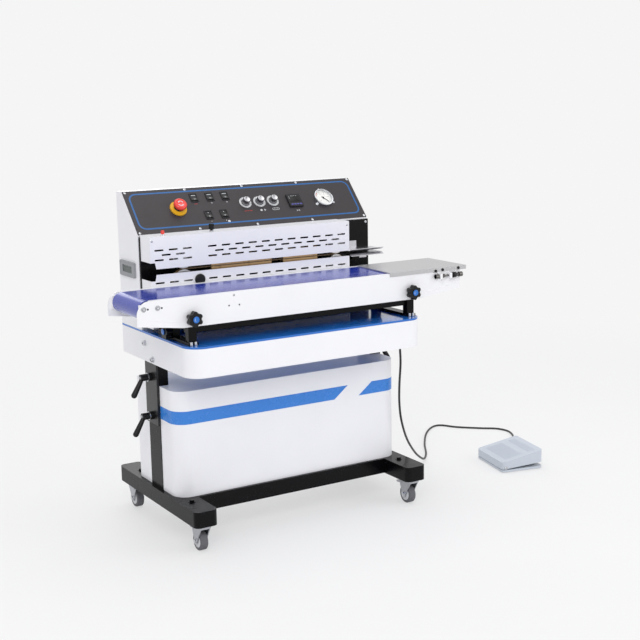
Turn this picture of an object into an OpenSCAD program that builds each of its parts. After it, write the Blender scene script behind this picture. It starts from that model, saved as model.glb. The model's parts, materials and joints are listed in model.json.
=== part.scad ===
// Continuous band sealer on a wheeled stand, with a belt conveyor, an infeed plate and a foot switch.
// The sealing head stands on a table that slides up and down the two posts of the stand.
// X runs along the travel of the bags, Y to the back of the machine, Z up. Millimetres.

/* [Stand] */
// Length of each foot, front to back
foot_length = 540; // [480:5:640]
// Width of each foot
foot_width = 70; // [60:1:80]
// Height of each foot
foot_height = 46; // [38:1:56]
// Distance of the feet's front ends from the head's front wall
foot_reach = 324; // [310:1:360]
// Depth of the post tubes, front to back
post_depth = 78; // [68:1:90]
// Width of the post tubes
post_width = 30; // [26:1:36]
// Wall of the post tubes
post_wall = 3; // [2:0.5:4]
// Depth of the bar that joins the feet
crossbar_depth = 36; // [26:1:50]
// Height of open post between cabinet and table
post_gap = 64; // [50:1:100]

/* [Cabinet] */
// Height of the cabinet
cabinet_height = 310; // [240:5:360]
// Depth of the cabinet
cabinet_depth = 266; // [240:2:290]
// Distance of the cabinet's front from the head's front wall
cabinet_reach = 189; // [170:1:210]
// Radius of the cabinet's front corners
cabinet_corner = 45; // [20:1:60]
// Sheet thickness of cabinet, table skirt and head
sheet = 2; // [1.5:0.25:3]

/* [Casters] */
// Diameter of the caster wheels
wheel_d = 56; // [44:1:60]
// Width of the caster wheels
wheel_width = 22; // [16:1:24]
// Height from the floor to the underside of the feet
caster_height = 80; // [76:1:100]
// Distance of the wheel's axle behind the swivel
caster_trail = 20; // [14:1:26]

/* [Table] */
// Length of the table
table_length = 776; // [740:2:785]
// Distance of the table's front from the head's front wall
table_reach = 319; // [300:1:340]
// Height of the table's skirt
skirt_height = 81; // [70:1:100]
// Thickness of the table top
top_thickness = 6; // [4:0.5:10]
// Radius of the table's front corners
table_corner = 50; // [20:1:60]

/* [Head] */
// Length of the head
head_length = 785; // [760:5:860]
// Depth of the head
head_depth = 145; // [142:1:200]
// Height of the head above the table top
head_height = 392; // [375:1:430]
// Height of the control panel's lower edge above the table top
panel_rise = 273; // [262:1:290]
// Horizontal depth of the sloping panel
panel_run = 110; // [95:1:125]
// Thickness of the control panel
panel_sheet = 2.5; // [1.5:0.5:4]

/* [Sealing line] */
// Height of the sealing line above the table top
seal_rise = 176.4; // [172:0.1:186]
// Height of the slot between the guards
guard_slot = 16; // [12:1:20]
// Length of the head left open beyond the guards, where the bags enter
guard_bay = 116; // [100:1:130]
// Depth of the guards in front of the head's front wall
guard_depth = 74.6; // [72:0.1:84]
// Radius of the band wheels
band_wheel_r = 33; // [28:0.5:36]
// Thickness of the sealing bands
band_t = 1; // [0.6:0.1:1.4]
// Teeth on each timing gear
gear_teeth = 24; // [16:4:32]
// Length of the ventilation slots
vent_length = 28.5; // [20:0.5:34]
// Height of the ventilation slots
vent_height = 5; // [3:0.5:7]
// Distance from one ventilation slot to the next
vent_pitch = 44.1; // [40:0.1:48]

/* [Conveyor] */
// Distance of the conveyor's left end beyond the head
conveyor_left = 133; // [110:1:160]
// Length of the conveyor
conveyor_length = 1069; // [1040:1:1140]
// Width of the conveyor over its side plates
conveyor_width = 204; // [196:1:206]
// Height of the conveyor's side plates
side_height = 83.5; // [70:0.5:88]
// Height of the side plates at their ends
side_end_height = 66; // [60:1:74]
// Drop of the conveyor's surface below the sealing line
conveyor_drop = 41; // [38:0.5:60]
// Radius of the belt rollers
roller_r = 25.3; // [20:0.1:26]
// Thickness of the belt
belt_t = 1.9; // [1:0.1:3]
// Diameter of the clamping studs of the star knobs
stud_d = 8; // [6:0.5:10]

/* [Infeed plate] */
// Length of the stainless infeed plate
infeed_length = 284; // [220:1:320]
// Thickness of the infeed plate
infeed_t = 3; // [1.5:0.1:3]
// Depth of the infeed plate's folded edge
infeed_lip = 12; // [8:1:16]

/* [Controls] */
// Diameter of the yellow ring under the stop button
stop_ring_d = 52; // [44:1:60]
// Diameter of the stop button's head
stop_head_d = 40; // [32:1:44]
// Diameter of the vacuum gauge
gauge_d = 65; // [56:1:72]
// Side of the square temperature controller
controller_side = 48; // [44:1:52]
// Diameter of the dials under the speed knobs
dial_d = 38; // [30:1:42]

/* [Foot switch] */
// Length of the foot switch from heel to toe
pedal_length = 150; // [130:1:180]
// Width of the foot switch
pedal_width = 185; // [160:1:200]
// Height of the tread at its heel
pedal_heel = 36; // [32:1:42]
// Height of the tread at its toe
pedal_toe = 66; // [58:1:76]

/* [Travel] */
// Height by which the table lifts
lift_travel = 100; // [60:5:110]
// Distance by which the conveyor's carriage slides to the front
carriage_travel = 25; // [10:1:30]
// Height by which the conveyor lifts on its brackets
conveyor_travel = 35; // [15:1:40]

/* [Hidden] */

$fn = 48;
run_gap = 0.05;     // radial clearance of a shaft in its bore
seat_gap = 0.3;     // distance between pieces that slide or turn past each other
past = 1;           // how far a cut runs past the face that it opens

// Levels of the stand
foot_z = caster_height;
frame_z = foot_z + foot_height;
cabinet_top = frame_z + cabinet_height;
table_z = cabinet_top + post_gap;
skirt_top = table_z + skirt_height;
table_top_z = skirt_top + top_thickness;

// Places of the stand, symmetrical about the middle of the table
side_plate_t = 6;
post_x = sheet + side_plate_t + seat_gap;
post_y = -46;
foot_mid = 32;
cabinet_side = 10;
cabinet_back = cabinet_depth - cabinet_reach;
slot_w = 12;
stud_r = 5;
lever_z = [table_z - 42, table_z - 157];
lever_slot_low = lever_z[1] - 8;
lever_slot_top = skirt_top - 14;

// Casters
fork_t = 3;
wheel_gap = 1.5;
cheek_x = wheel_width / 2 + wheel_gap;
stem_r = 6;
stem_up = 30;
crown_h = 8;
axle_r = 4;
caster_front = -foot_reach + 28;
caster_rear = foot_length - foot_reach - 28;
wheel_z = wheel_d / 2;
brake_y = caster_trail + 14;
brake_z = caster_height - 18;
brake_pin_r = 2.5;

// Head
head_top = table_top_z + head_height;
panel_low = table_top_z + panel_rise;
panel_slope = atan2(head_top - panel_low, panel_run);
panel_length = norm([head_top - panel_low, panel_run]);
flange = 14;
cover_edge = 60;
cover_t = 1.5;

// Sealing line
seal_z = table_top_z + seal_rise;
frame_t = 8;
band_gap = 0.5;
wheel_rise = band_wheel_r + seat_gap + band_t + band_gap;
wheel_x = [112, head_length - guard_bay - 41];
wheel_w = 14;
wheel_front = -62;
shaft_r = 8;
gear_y = 10;
gear_w = 10;
boss_r = 16;
boss_h = 12;
block_back = -42;
block_h = 30;
heater_x = [wheel_x[1] - 188, 120];
cooler_x = [wheel_x[0] + 88, 200];
pillar_x = [cooler_x[0] + 30, cooler_x[0] + 170, heater_x[0] + 20, heater_x[0] + 100];
gearbox_side = 90;
gearbox_y = 32;
gearbox_t = 34;
motor_r = 28;
motor_end = 134;

// Guards
guard_x = 4;
guard_length = head_length - guard_bay - guard_x;
guide_x = guard_x + guard_length + 3;
guard_t = 2;
guard_top = panel_low + 3;
guard_low = table_top_z + 13;
guard_mouth = 18;
shelf_knob_x = 205;
shelf_knob_y = -60;
shelf_cap_x = 51;
guard_knob_x = 155.5;
guard_knob_z = seal_z - 32.4;
vent_left = 17;
vent_right = 185;

// Conveyor
plate_t = 2;
front_y = -286.4;
rear_y = front_y + conveyor_width;
surface_z = seal_z - conveyor_drop;
belt_z = surface_z - 0.6;
side_low = surface_z - side_height;
side_end_low = surface_z - side_end_height;
conveyor_right = conveyor_length - conveyor_left;
belt_r = roller_r + seat_gap + belt_t;
roller_z = belt_z - belt_r;
roller_x = [-conveyor_left + 36, conveyor_right - 66];
roller_shaft_r = 6;
side_flange = 12;
belt_margin = 15.4;
bearing_t = 10;
corner_r = 38;
lock_y = -163;
lock_rise = 22;
end_gap = 7;
knob_x = [27, 751];
knob_z = side_low + 23;
stud_fit = 0.2;
bracket_t = 8;
bracket_w = 24;
bracket_gap = 1.4;
bracket_front = front_y + plate_t + bracket_gap;
bracket_rear = rear_y - plate_t - bracket_gap - bracket_t;
bracket_top = knob_z + conveyor_travel + 9;
beam_w = 20;
beam_top = side_low - 1;
beam_low = beam_top - 17;
foot_bar = 8;
tension_z = surface_z - 22;
tension_y = front_y - 8;
tension_r = 3;

// Controls, placed along the head and up the panel
stop_at = [156, 85];
rocker_at = [[219, 121], [271, 121], [322, 121], [245, 54], [296, 54]];
rocker_size = [24, 31];
rocker_tilt = 8;
speed_at = [[380.5, 89.5], [429, 89.5], [476, 89.5]];
gauge_at = [656, 84.5];
controller_at = [551, 83.5];
counter_y = [23, 130];
counter_z = [seal_z - 28, seal_z + 17];
counter_rim = 4;

// Foot switch
pedal_x = 1258;
pedal_y = -150;
pedal_yaw = -12;
pedal_corner = 10;
pedal_t = 3;
pedal_base_z = [3, 10];
hinge_u = -pedal_length / 2 + 13;
hinge_z = 17;
gland_u = 45;
gland_z = 17;
gland_r = 6;
gland_v = pedal_width / 2 + 3;

// The row origin lies on the floor under the middle of the whole object without its cord
pedal_half = (pedal_length / 2 - pedal_corner) * cos(pedal_yaw)
           - (pedal_width / 2 - pedal_corner) * sin(pedal_yaw) + pedal_corner;
origin_x = (pedal_x + pedal_half - conveyor_left) / 2;
origin_y = foot_length / 2 - foot_reach;

// Cord of the foot switch: it hangs from the table and lies on the floor round to the switch
cord_r = 3.5;
cord_top = skirt_top - 22;
gland_x = table_length - 14;
pedal_entry = [pedal_x + gland_u * cos(pedal_yaw) - gland_v * sin(pedal_yaw),
               pedal_y + gland_u * sin(pedal_yaw) + gland_v * cos(pedal_yaw), gland_z];
cord_route = [
    [gland_x, -206, cord_top], [gland_x + 2, -206, 500], [gland_x + 6, -206, 430],
    [gland_x, -208, 360], [gland_x - 2, -210, 300], [776, -198, 238], [836, -143, 155],
    [919, -72, 78], [1000, 0, 25], [1050, 52, 5], [1090, 100, 4], [1150, 190, 4], [1230, 290, 4],
    [1300, 350, 4], [1345, 355, 4], [1380, 300, 4], [1444, 236, 4],
    [1490, 195, 4], [1500, 140, 4], [1460, 70, 4], [1390, 30, 5], [1345, 0, 12],
    pedal_entry];

// ---------- helpers ----------

module placed() translate([-origin_x, -origin_y, 0]) children();
module slab(low, high) translate(low) cube(high - low);
module rod_x(r, x0, x1, y, z) translate([x0, y, z]) rotate([0, 90, 0]) cylinder(r = r, h = x1 - x0);
module rod_y(r, y0, y1, x, z) translate([x, y1, z]) rotate([90, 0, 0]) cylinder(r = r, h = y1 - y0);
module rod_z(r, z0, z1, x, y) translate([x, y, z0]) cylinder(r = r, h = z1 - z0);
// A flat shape drawn in X and Z, made into a sheet from y0 to y1
module sheet_y(y0, y1) translate([0, y1, 0]) rotate([90, 0, 0]) linear_extrude(y1 - y0) children();
// A flat shape drawn in Y and Z, made into a bar from x0 to x1
module bar_x(x0, x1) translate([x0, 0, 0]) rotate([90, 0, 90]) linear_extrude(x1 - x0) children();
// The same piece at the left and, mirrored, at the right of the stand
module mirrored(right) {
    if (right) translate([table_length, 0, 0]) mirror([1, 0, 0]) children();
    else children();
}
// Axes of the sloping panel: X along the head, Y up the slope, Z out of its face
module on_panel(at = [0, 0]) translate([0, 0, panel_low]) rotate([panel_slope, 0, 0])
    translate([at[0], at[1], 0]) children();
// A square block on a flat face, centred at a place
module on_panel_square(at, side, low, high)
    translate([at[0], at[1], low]) linear_extrude(high - low) square(side, center = true);
module rounded_plan(size, r) {
    square([size[0] - 2 * r, size[1]], center = true);
    square([size[0], size[1] - 2 * r], center = true);
    for (x = [-1, 1], y = [-1, 1]) translate([x * (size[0] / 2 - r), y * (size[1] / 2 - r)]) circle(r);
}
// A plan with two round corners at its front
module front_rounded(x0, x1, y0, y1, r) {
    translate([x0, y0 + r]) square([x1 - x0, y1 - y0 - r]);
    translate([x0 + r, y0]) square([x1 - x0 - 2 * r, y1 - y0]);
    for (x = [x0 + r, x1 - r]) translate([x, y0 + r]) circle(r);
}
// A rounded slot, centred in height, that starts at x
module slot_2d(x, z, length, height) {
    translate([x + height / 2, z - height / 2]) square([length - height, height]);
    for (end = [x + height / 2, x + length - height / 2]) translate([end, z]) circle(height / 2, $fn = 16);
}
// An upright slot, between two heights
module upright_slot(x, low, high, width) {
    translate([x - width / 2, low]) square([width, high - low]);
    for (z = [low, high]) translate([x, z]) circle(width / 2);
}
// The outline of a belt round two wheels
module belt_2d(x, z, r) {
    for (end = x) translate([end, z]) circle(r);
    translate([x[0], z - r]) square([x[1] - x[0], 2 * r]);
}
function arc(c, r, from, to, n = 10) =
    [for (i = [0 : n]) let (a = from + (to - from) * i / n) c + r * [cos(a), sin(a)]];

// ---------- stand ----------

module stand_base() {
    color([0.05, 0.05, 0.06]) placed() {
        for (right = [false, true]) mirrored(right) difference() {
            translate([foot_mid, foot_length / 2 - foot_reach, foot_z])
                linear_extrude(foot_height) rounded_plan([foot_width, foot_length], 16);
            for (y = [caster_front, caster_rear])
                rod_z(stem_r + run_gap, foot_z - past, foot_z + stem_up + past, foot_mid, y);
        }
        slab([foot_mid + foot_width / 2 - past, -cabinet_reach - 10, foot_z],
             [table_length - foot_mid - foot_width / 2 + past, crossbar_depth - cabinet_reach - 10, frame_z]);
    }
}

module posts() {
    color([0.05, 0.05, 0.06]) placed() for (right = [false, true]) mirrored(right) difference() {
        slab([post_x, post_y - post_depth / 2, frame_z],
             [post_x + post_width, post_y + post_depth / 2, skirt_top - seat_gap]);
        slab([post_x + post_wall, post_y - post_depth / 2 + post_wall, frame_z - past],
             [post_x + post_width - post_wall, post_y + post_depth / 2 - post_wall, skirt_top + past]);
        bar_x(post_x - past, post_x + post_wall + past)
            upright_slot(post_y, lever_slot_low, lever_slot_top, slot_w);
    }
}

// The cabinet's plan, drawn in by t, with a rebate at each side for the post
module cabinet_plan(t) difference() {
    front_rounded(cabinet_side + t, table_length - cabinet_side - t,
                  -cabinet_reach + t, cabinet_back - t, cabinet_corner - t);
    for (right = [0, 1]) translate([right * table_length, 0]) mirror([right, 0])
        translate([0, post_y - post_depth / 2 - seat_gap - t])
            square([post_x + post_width + seat_gap + t, post_depth + 2 * seat_gap + 2 * t]);
}

module cabinet() {
    door_side = 60;
    door_edge = 26;
    color([0.91, 0.91, 0.93]) placed() {
        difference() {
            translate([0, 0, frame_z]) linear_extrude(cabinet_height) cabinet_plan(0);
            translate([0, 0, frame_z + sheet]) linear_extrude(cabinet_height - 2 * sheet) cabinet_plan(sheet);
            slab([door_side + 12, cabinet_back - sheet - past, frame_z + door_edge + 12],
                 [table_length - door_side - 12, cabinet_back + past, cabinet_top - door_edge - 12]);
        }
        // Rear panel, screwed over the opening
        slab([door_side, cabinet_back, frame_z + door_edge],
             [table_length - door_side, cabinet_back + cover_t, cabinet_top - door_edge]);
    }
}

module vacuum_pump() {
    pump_z = frame_z + sheet;
    axis_z = pump_z + 78;
    color([0.30, 0.34, 0.38]) placed() {
        slab([290, -110, pump_z], [470, 10, pump_z + 18]);
        slab([296, -104, pump_z + 18], [380, 4, pump_z + 122]);
        rod_x(46, 378, 500, -50, axis_z);
        for (x = [392 : 12 : 476]) rod_x(50, x, x + 4, -50, axis_z);
        slab([400, -80, pump_z + 16], [470, -20, axis_z]);
        rod_z(9, pump_z + 120, pump_z + 150, 338, -50);
    }
}

// ---------- casters ----------

// Caster i of front left, front right, rear left and rear right, with its swivel at the origin
module caster_place(i) {
    rear = i > 1;
    translate([i % 2 == 0 ? foot_mid : table_length - foot_mid, rear ? caster_rear : caster_front, 0])
        mirror([0, rear ? 1 : 0, 0]) children();
}

module caster_fork(i) {
    crown_z = caster_height - seat_gap;
    cheek_top = crown_z - crown_h;
    color([0.62, 0.63, 0.66]) placed() caster_place(i) {
        rod_z(stem_r, crown_z - past, foot_z + stem_up, 0, 0);
        rod_z(22, cheek_top, crown_z, 0, 0);
        slab([-cheek_x - fork_t, -14, cheek_top - 3], [cheek_x + fork_t, 20, cheek_top + 2]);
        difference() {
            for (side = [0, 1]) mirror([side, 0, 0]) bar_x(cheek_x, cheek_x + fork_t) {
                polygon([[-15, cheek_top + 1], [brake_y + 6, cheek_top + 1], [brake_y + 6, brake_z - 6],
                         [caster_trail + 9, wheel_z], [caster_trail - 9, wheel_z]]);
                translate([caster_trail, wheel_z]) circle(9);
            }
            rod_x(brake_pin_r + run_gap, -50, 50, brake_y, brake_z);
        }
        rod_x(axle_r, -cheek_x - fork_t - 2, cheek_x + fork_t + 2, caster_trail, wheel_z);
    }
}

module caster_wheel(i) {
    half = wheel_width / 2;
    color([0.16, 0.16, 0.17]) placed() caster_place(i) translate([0, caster_trail, wheel_z])
        rotate([0, 90, 0]) rotate_extrude($fn = 64) polygon(concat(
            [[axle_r + run_gap, -half - wheel_gap / 2], [axle_r + 4, -half - wheel_gap / 2],
             [axle_r + 5, -half + 3], [wheel_z - 9, -half + 3], [wheel_z - 8, -half], [wheel_z - 3, -half]],
            arc([wheel_z - 3, -half + 3], 3, -90, 0, 5), arc([wheel_z - 3, half - 3], 3, 0, 90, 5),
            [[wheel_z - 8, half], [wheel_z - 9, half - 3], [axle_r + 5, half - 3],
             [axle_r + 4, half + wheel_gap / 2], [axle_r + run_gap, half + wheel_gap / 2]]));
}

module caster_brake(i) {
    color([0.10, 0.10, 0.11]) placed() caster_place(i) {
        rod_x(brake_pin_r, -cheek_x - fork_t - 1, cheek_x + fork_t + 1, brake_y, brake_z);
        rod_x(4, -cheek_x + seat_gap, cheek_x - seat_gap, brake_y, brake_z);
        bar_x(-cheek_x + seat_gap, cheek_x - seat_gap)
            polygon([[brake_y, brake_z - 3], [brake_y + 26, brake_z - 5], [brake_y + 30, brake_z - 3],
                     [brake_y + 29, brake_z], [brake_y, brake_z + 3]]);
    }
}

// ---------- table ----------

module table_frame() {
    color([0.91, 0.91, 0.93]) placed() {
        difference() {
            translate([0, 0, table_z]) linear_extrude(skirt_height)
                front_rounded(0, table_length, -table_reach, head_depth, table_corner);
            translate([0, 0, table_z - past]) linear_extrude(skirt_height + 2 * past)
                front_rounded(sheet, table_length - sheet, -table_reach + sheet, head_depth - sheet,
                              table_corner - sheet);
        }
        // Slide plates that run down the posts, each with two studs whose heads hold the post from inside
        for (right = [false, true]) mirrored(right) {
            slab([sheet, post_y - post_depth / 2, lever_z[1] - 24],
                 [sheet + side_plate_t, post_y + post_depth / 2, skirt_top]);
            for (z = lever_z) {
                rod_x(stud_r, -20, post_x + post_wall + 2, post_y, z);
                slab([post_x + post_wall + seat_gap, post_y - 12, z - 10],
                     [post_x + post_wall + 7, post_y + 12, z + 10]);
            }
            for (y = [-1, 1]) rod_x(5, -3.5, sheet, post_y + 26 * y, table_z + 33 + 20 * y);
        }
    }
}

module table_top() {
    color([0.15, 0.35, 0.68]) placed() {
        translate([0, 0, skirt_top]) linear_extrude(top_thickness)
            front_rounded(0, table_length, -table_reach, head_depth, table_corner);
        // Gland of the foot switch's cord
        rod_z(9, cord_top, skirt_top, cord_route[0][0], cord_route[0][1]);
    }
}

module clamp_lever(right, z) {
    tilt = 30;
    color([0.06, 0.06, 0.07]) placed() mirrored(right) translate([0, post_y, z]) {
        difference() {
            union() {
                rod_x(10, -31, sheet - seat_gap, 0, 0);
                rod_x(12, -8, sheet - seat_gap, 0, 0);
                translate([-24, 0, 0]) rotate([0, 180 + tilt, 0]) cylinder(r1 = 6, r2 = 8.5, h = 56);
                translate([-24, 0, 0]) rotate([0, 180 + tilt, 0]) translate([0, 0, 56]) sphere(8.5);
            }
            rod_x(stud_r + run_gap, -20 - seat_gap, sheet + past, 0, 0);
        }
    }
}

// ---------- head ----------

module head_profile(t) {
    tilt = tan(panel_slope);
    drop = t / cos(panel_slope);
    polygon([[t, table_top_z + t], [t, panel_low + t * tilt - drop],
             [(head_top - t - panel_low + drop) / tilt, head_top - t],
             [head_depth - t, head_top - t], [head_depth - t, table_top_z + t]]);
}

module head_housing() {
    color([0.91, 0.91, 0.93]) placed() {
        difference() {
            bar_x(0, head_length) head_profile(0);
            bar_x(sheet, head_length - sheet) head_profile(sheet);
            on_panel()
                slab([flange + sheet, flange, -20],
                     [head_length - flange - sheet, panel_length - flange, past]);
            for (x = wheel_x, side = [-1, 1])
                rod_y(shaft_r + 1.5, -past, sheet + past, x, seal_z + side * wheel_rise);
            slab([cover_edge + 12, head_depth - sheet - past, table_top_z + 44],
                 [head_length - cover_edge - 12, head_depth + past, head_top - 44]);
            slab([-past, counter_y[0] + counter_rim, counter_z[0] + counter_rim],
                 [sheet + past, counter_y[1] - counter_rim, counter_z[1] - counter_rim]);
        }
        // Rear cover with two rows of ventilation slots
        sheet_y(head_depth, head_depth + cover_t) difference() {
            translate([cover_edge, table_top_z + 32])
                square([head_length - 2 * cover_edge, head_height - 64]);
            for (i = [0 : 7], z = [80, 100])
                slot_2d(cover_edge + 60 + i * vent_pitch, table_top_z + z, vent_length, vent_height);
        }
    }
}

module control_panel() {
    color([0.29, 0.28, 0.29]) placed() on_panel() difference() {
        slab([sheet, sheet, 0], [head_length - sheet, panel_length - sheet, panel_sheet]);
        rod_z(14.2, -past, panel_sheet + past, stop_at[0], stop_at[1]);
        for (at = rocker_at)
            slab([at[0] - 11, at[1] - 14, -past], [at[0] + 11, at[1] + 14, panel_sheet + past]);
        for (at = speed_at) rod_z(5, -past, panel_sheet + past, at[0], at[1]);
        rod_z(gauge_d / 2 - 3.5, -past, panel_sheet + past, gauge_at[0], gauge_at[1]);
        on_panel_square(controller_at, controller_side - 3, -past, panel_sheet + past);
    }
}

// Fixed fittings of the panel: the stop button's ring and block, the rockers' frames, the speed dials
module panel_fittings() {
    stop_bore = 10;
    color([0.85, 0.68, 0.15]) placed() {
        on_panel(stop_at) difference() {
            union() {
                rod_z(stop_ring_d / 2, panel_sheet, 6, 0, 0);
                rod_z(15, panel_sheet, 12, 0, 0);
                rod_z(14, -26, panel_sheet, 0, 0);
                translate([-16, -16, -52]) cube([32, 32, 26]);
            }
            rod_z(stop_bore + 2 * run_gap, -26, 12 + past, 0, 0);
        }
        for (at = rocker_at) on_panel(at) difference() {
            union() {
                translate([-rocker_size[0] / 2, -rocker_size[1] / 2, panel_sheet])
                    cube([rocker_size[0], rocker_size[1], 2]);
                translate([-10.9, -13.9, -22]) cube([21.8, 27.8, 22 + panel_sheet + past]);
            }
            translate([-9.6, -12.8, -14]) cube([19.2, 25.6, 30]);
            rod_x(1.5 + run_gap, -10.4, 10.4, 0, 0.5);
        }
        for (at = speed_at) on_panel(at) difference() {
            union() {
                rod_z(dial_d / 2, panel_sheet, 4, 0, 0);
                rod_z(4.9, -past, panel_sheet + past, 0, 0);
                rod_z(12, -20, 0, 0, 0);
            }
            rod_z(3 + run_gap, -12, 4 + past, 0, 0);
        }
    }
}

module stop_button() {
    head_r = stop_head_d / 2;
    color([0.78, 0.08, 0.08]) placed() on_panel(stop_at) {
        rod_z(10, -20, 20, 0, 0);
        rotate_extrude() polygon(concat([[0, 17], [head_r - 6, 17]], arc([head_r - 3, 21], 3, -60, 0, 4),
            arc([head_r - 6, 24], 6, 0, 90, 6), [[head_r - 9, 29], [0, 28]]));
    }
}

module rocker(i) {
    color([0.08, 0.08, 0.09]) placed() on_panel(rocker_at[i]) translate([0, 0, 0.5]) {
        rod_x(1.5, -10.2, 10.2, 0, 0);
        rotate([-rocker_tilt, 0, 0]) bar_x(-9.3, 9.3)
            polygon([[-12, -2.5], [12, -2.5], [12, 5], [0, 3.2], [-12, 5]]);
    }
}

module speed_knob(i) {
    base = 4 + seat_gap;
    color([0.66, 0.67, 0.69]) placed() on_panel(speed_at[i]) {
        rod_z(3, -12 + seat_gap, base + 2, 0, 0);
        rotate_extrude() polygon(concat([[0, base], [12.5, base], [12.5, base + 2], [11, base + 4]],
            [[10.4, base + 16]], arc([9.2, base + 16], 1.2, 20, 90, 3), [[0, base + 17.2]]));
        for (i = [0 : 17]) rotate(i * 20) translate([10.7, 0, base + 3]) cylinder(r = 0.7, h = 12, $fn = 8);
    }
}

// Cases of the vacuum gauge, the temperature controller and the counter on the head's side
module instruments() {
    bezel_r = gauge_d / 2;
    half = controller_side / 2;
    color([0.75, 0.76, 0.78]) placed() {
        on_panel(gauge_at) {
            difference() {
                union() {
                    rod_z(bezel_r, panel_sheet, 13, 0, 0);
                    rod_z(bezel_r - 4, -30, panel_sheet + past, 0, 0);
                    rod_z(7, -42, -29, 0, 0);
                }
                rod_z(bezel_r - 4, 6, 11, 0, 0);
                rod_z(bezel_r - 5, 6, 14, 0, 0);
                rod_z(1 + run_gap, 3, 7, 0, 0);
            }
            rod_z(bezel_r - 4, 9.5, 11, 0, 0);
            for (a = [90, 213, 333]) rotate(a) translate([37, 0, panel_sheet]) cylinder(r = 3, h = 2.4);
        }
        on_panel(controller_at) difference() {
            union() {
                translate([-half, -half, panel_sheet]) cube([controller_side, controller_side, 6]);
                translate([-half + 1.6, -half + 1.6, -62])
                    cube([controller_side - 3.2, controller_side - 3.2, 63 + panel_sheet]);
            }
            translate([-half + 4, -half + 15, panel_sheet + 4]) cube([controller_side - 8, 26, 5]);
        }
        on_panel(controller_at) for (x = [-1.5 : 1 : 1.5])
            translate([x * 10 - 3.6, -half + 4, panel_sheet + 6]) cube([7.2, 6, 0.8]);
        difference() {
            union() {
                slab([-6, counter_y[0], counter_z[0]], [0, counter_y[1], counter_z[1]]);
                slab([-past, counter_y[0] + counter_rim + 0.2, counter_z[0] + counter_rim + 0.2],
                     [26, counter_y[1] - counter_rim - 0.2, counter_z[1] - counter_rim - 0.2]);
            }
            slab([-7, counter_y[0] + 20, counter_z[0] + 12], [-4, counter_y[1] - 18, counter_z[1] - 12]);
        }
    }
}

module gauge_needle() {
    color([0.08, 0.08, 0.09]) placed() on_panel(gauge_at) {
        rod_z(1, 3.5, 8.6, 0, 0);
        rod_z(3, 6 + seat_gap, 8, 0, 0);
        rotate(-50) translate([0, 0, 7]) linear_extrude(0.8)
            polygon([[-7, -1.4], [-7, 1.4], [22, 0.3], [22, -0.3]]);
    }
}

// ---------- sealing line ----------

// Main plate with the shafts' bosses and the blocks' pillars, and the gear motor behind the front wall
module sealing_frame() {
    color([0.07, 0.07, 0.08]) placed() {
        difference() {
            union() {
                slab([sheet, -frame_t, guard_low], [head_length - sheet, 0, panel_low - 3]);
                for (x = wheel_x, side = [-1, 1])
                    rod_y(boss_r, -frame_t - boss_h, -frame_t + past, x, seal_z + side * wheel_rise);
                for (x = pillar_x, side = [-1, 1])
                    rod_y(5, block_back, -frame_t + past, x,
                          seal_z + side * (band_gap + band_t + block_h / 2));
            }
            for (x = wheel_x, side = [-1, 1])
                rod_y(shaft_r + run_gap, -frame_t - boss_h - past, past, x, seal_z + side * wheel_rise);
        }
        // Bag sensor under the infeed
        slab([guide_x + 40, -frame_t - 16, seal_z - 29], [guide_x + 67, -frame_t, seal_z - 13]);
        // Gear motor on four spacers, in line with the lower right shaft
        translate([wheel_x[1], 0, seal_z - wheel_rise]) {
            difference() {
                slab([-gearbox_side / 2, gearbox_y, -gearbox_side / 2],
                     [gearbox_side / 2, gearbox_y + gearbox_t, gearbox_side / 2]);
                rod_y(shaft_r + run_gap, gearbox_y - past, gearbox_y + 14, 0, 0);
            }
            rod_y(motor_r, gearbox_y + gearbox_t - past, motor_end, 0, 0);
            for (x = [-1, 1], z = [-1, 1])
                rod_y(4, sheet, gearbox_y + past, x * (gearbox_side / 2 - 5), z * (gearbox_side / 2 - 5));
        }
    }
}

// Heater blocks of brass and finned cooling blocks, above and below the bag's edge
module sealing_blocks() {
    low = band_gap + band_t;
    color([0.72, 0.55, 0.33]) placed() for (side = [0, 1])
        translate([0, 0, seal_z]) mirror([0, 0, side]) {
            difference() {
                slab([heater_x[0], wheel_front, low], [heater_x[0] + heater_x[1], block_back, low + block_h]);
                for (x = [35, 85]) rod_z(4, low + 8, low + block_h + past, heater_x[0] + x, -52);
            }
            slab([cooler_x[0], wheel_front, low],
                 [cooler_x[0] + cooler_x[1], block_back, low + block_h / 2 + 6]);
            for (x = [cooler_x[0] : 10 : cooler_x[0] + cooler_x[1] - 4])
                slab([x, wheel_front, low + block_h / 2], [x + 4, block_back, low + block_h]);
        }
}

module sealing_bands() {
    inner = band_wheel_r + seat_gap;
    color([0.62, 0.42, 0.26]) placed() for (side = [-1, 1])
        sheet_y(wheel_front + 1, wheel_front + wheel_w - 1) difference() {
            belt_2d(wheel_x, seal_z + side * wheel_rise, inner + band_t);
            belt_2d(wheel_x, seal_z + side * wheel_rise, inner);
        }
}

// A spur gear drawn flat, with a tooth or, where gap is true, a gap on its +X side
module gear_2d(pitch_r, teeth, gap) {
    module_size = 2 * pitch_r / teeth;
    step = 360 / teeth;
    tip = pitch_r + 0.9 * module_size;
    root = pitch_r - 1.15 * module_size;
    rotate(gap ? step / 2 : 0) polygon([for (i = [0 : teeth - 1]) for (p = [
        [root, -0.30], [pitch_r, -0.22], [tip, -0.11], [tip, 0.11], [pitch_r, 0.22], [root, 0.30]])
        p[0] * [cos((i + p[1]) * step), sin((i + p[1]) * step)]]);
}

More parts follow.
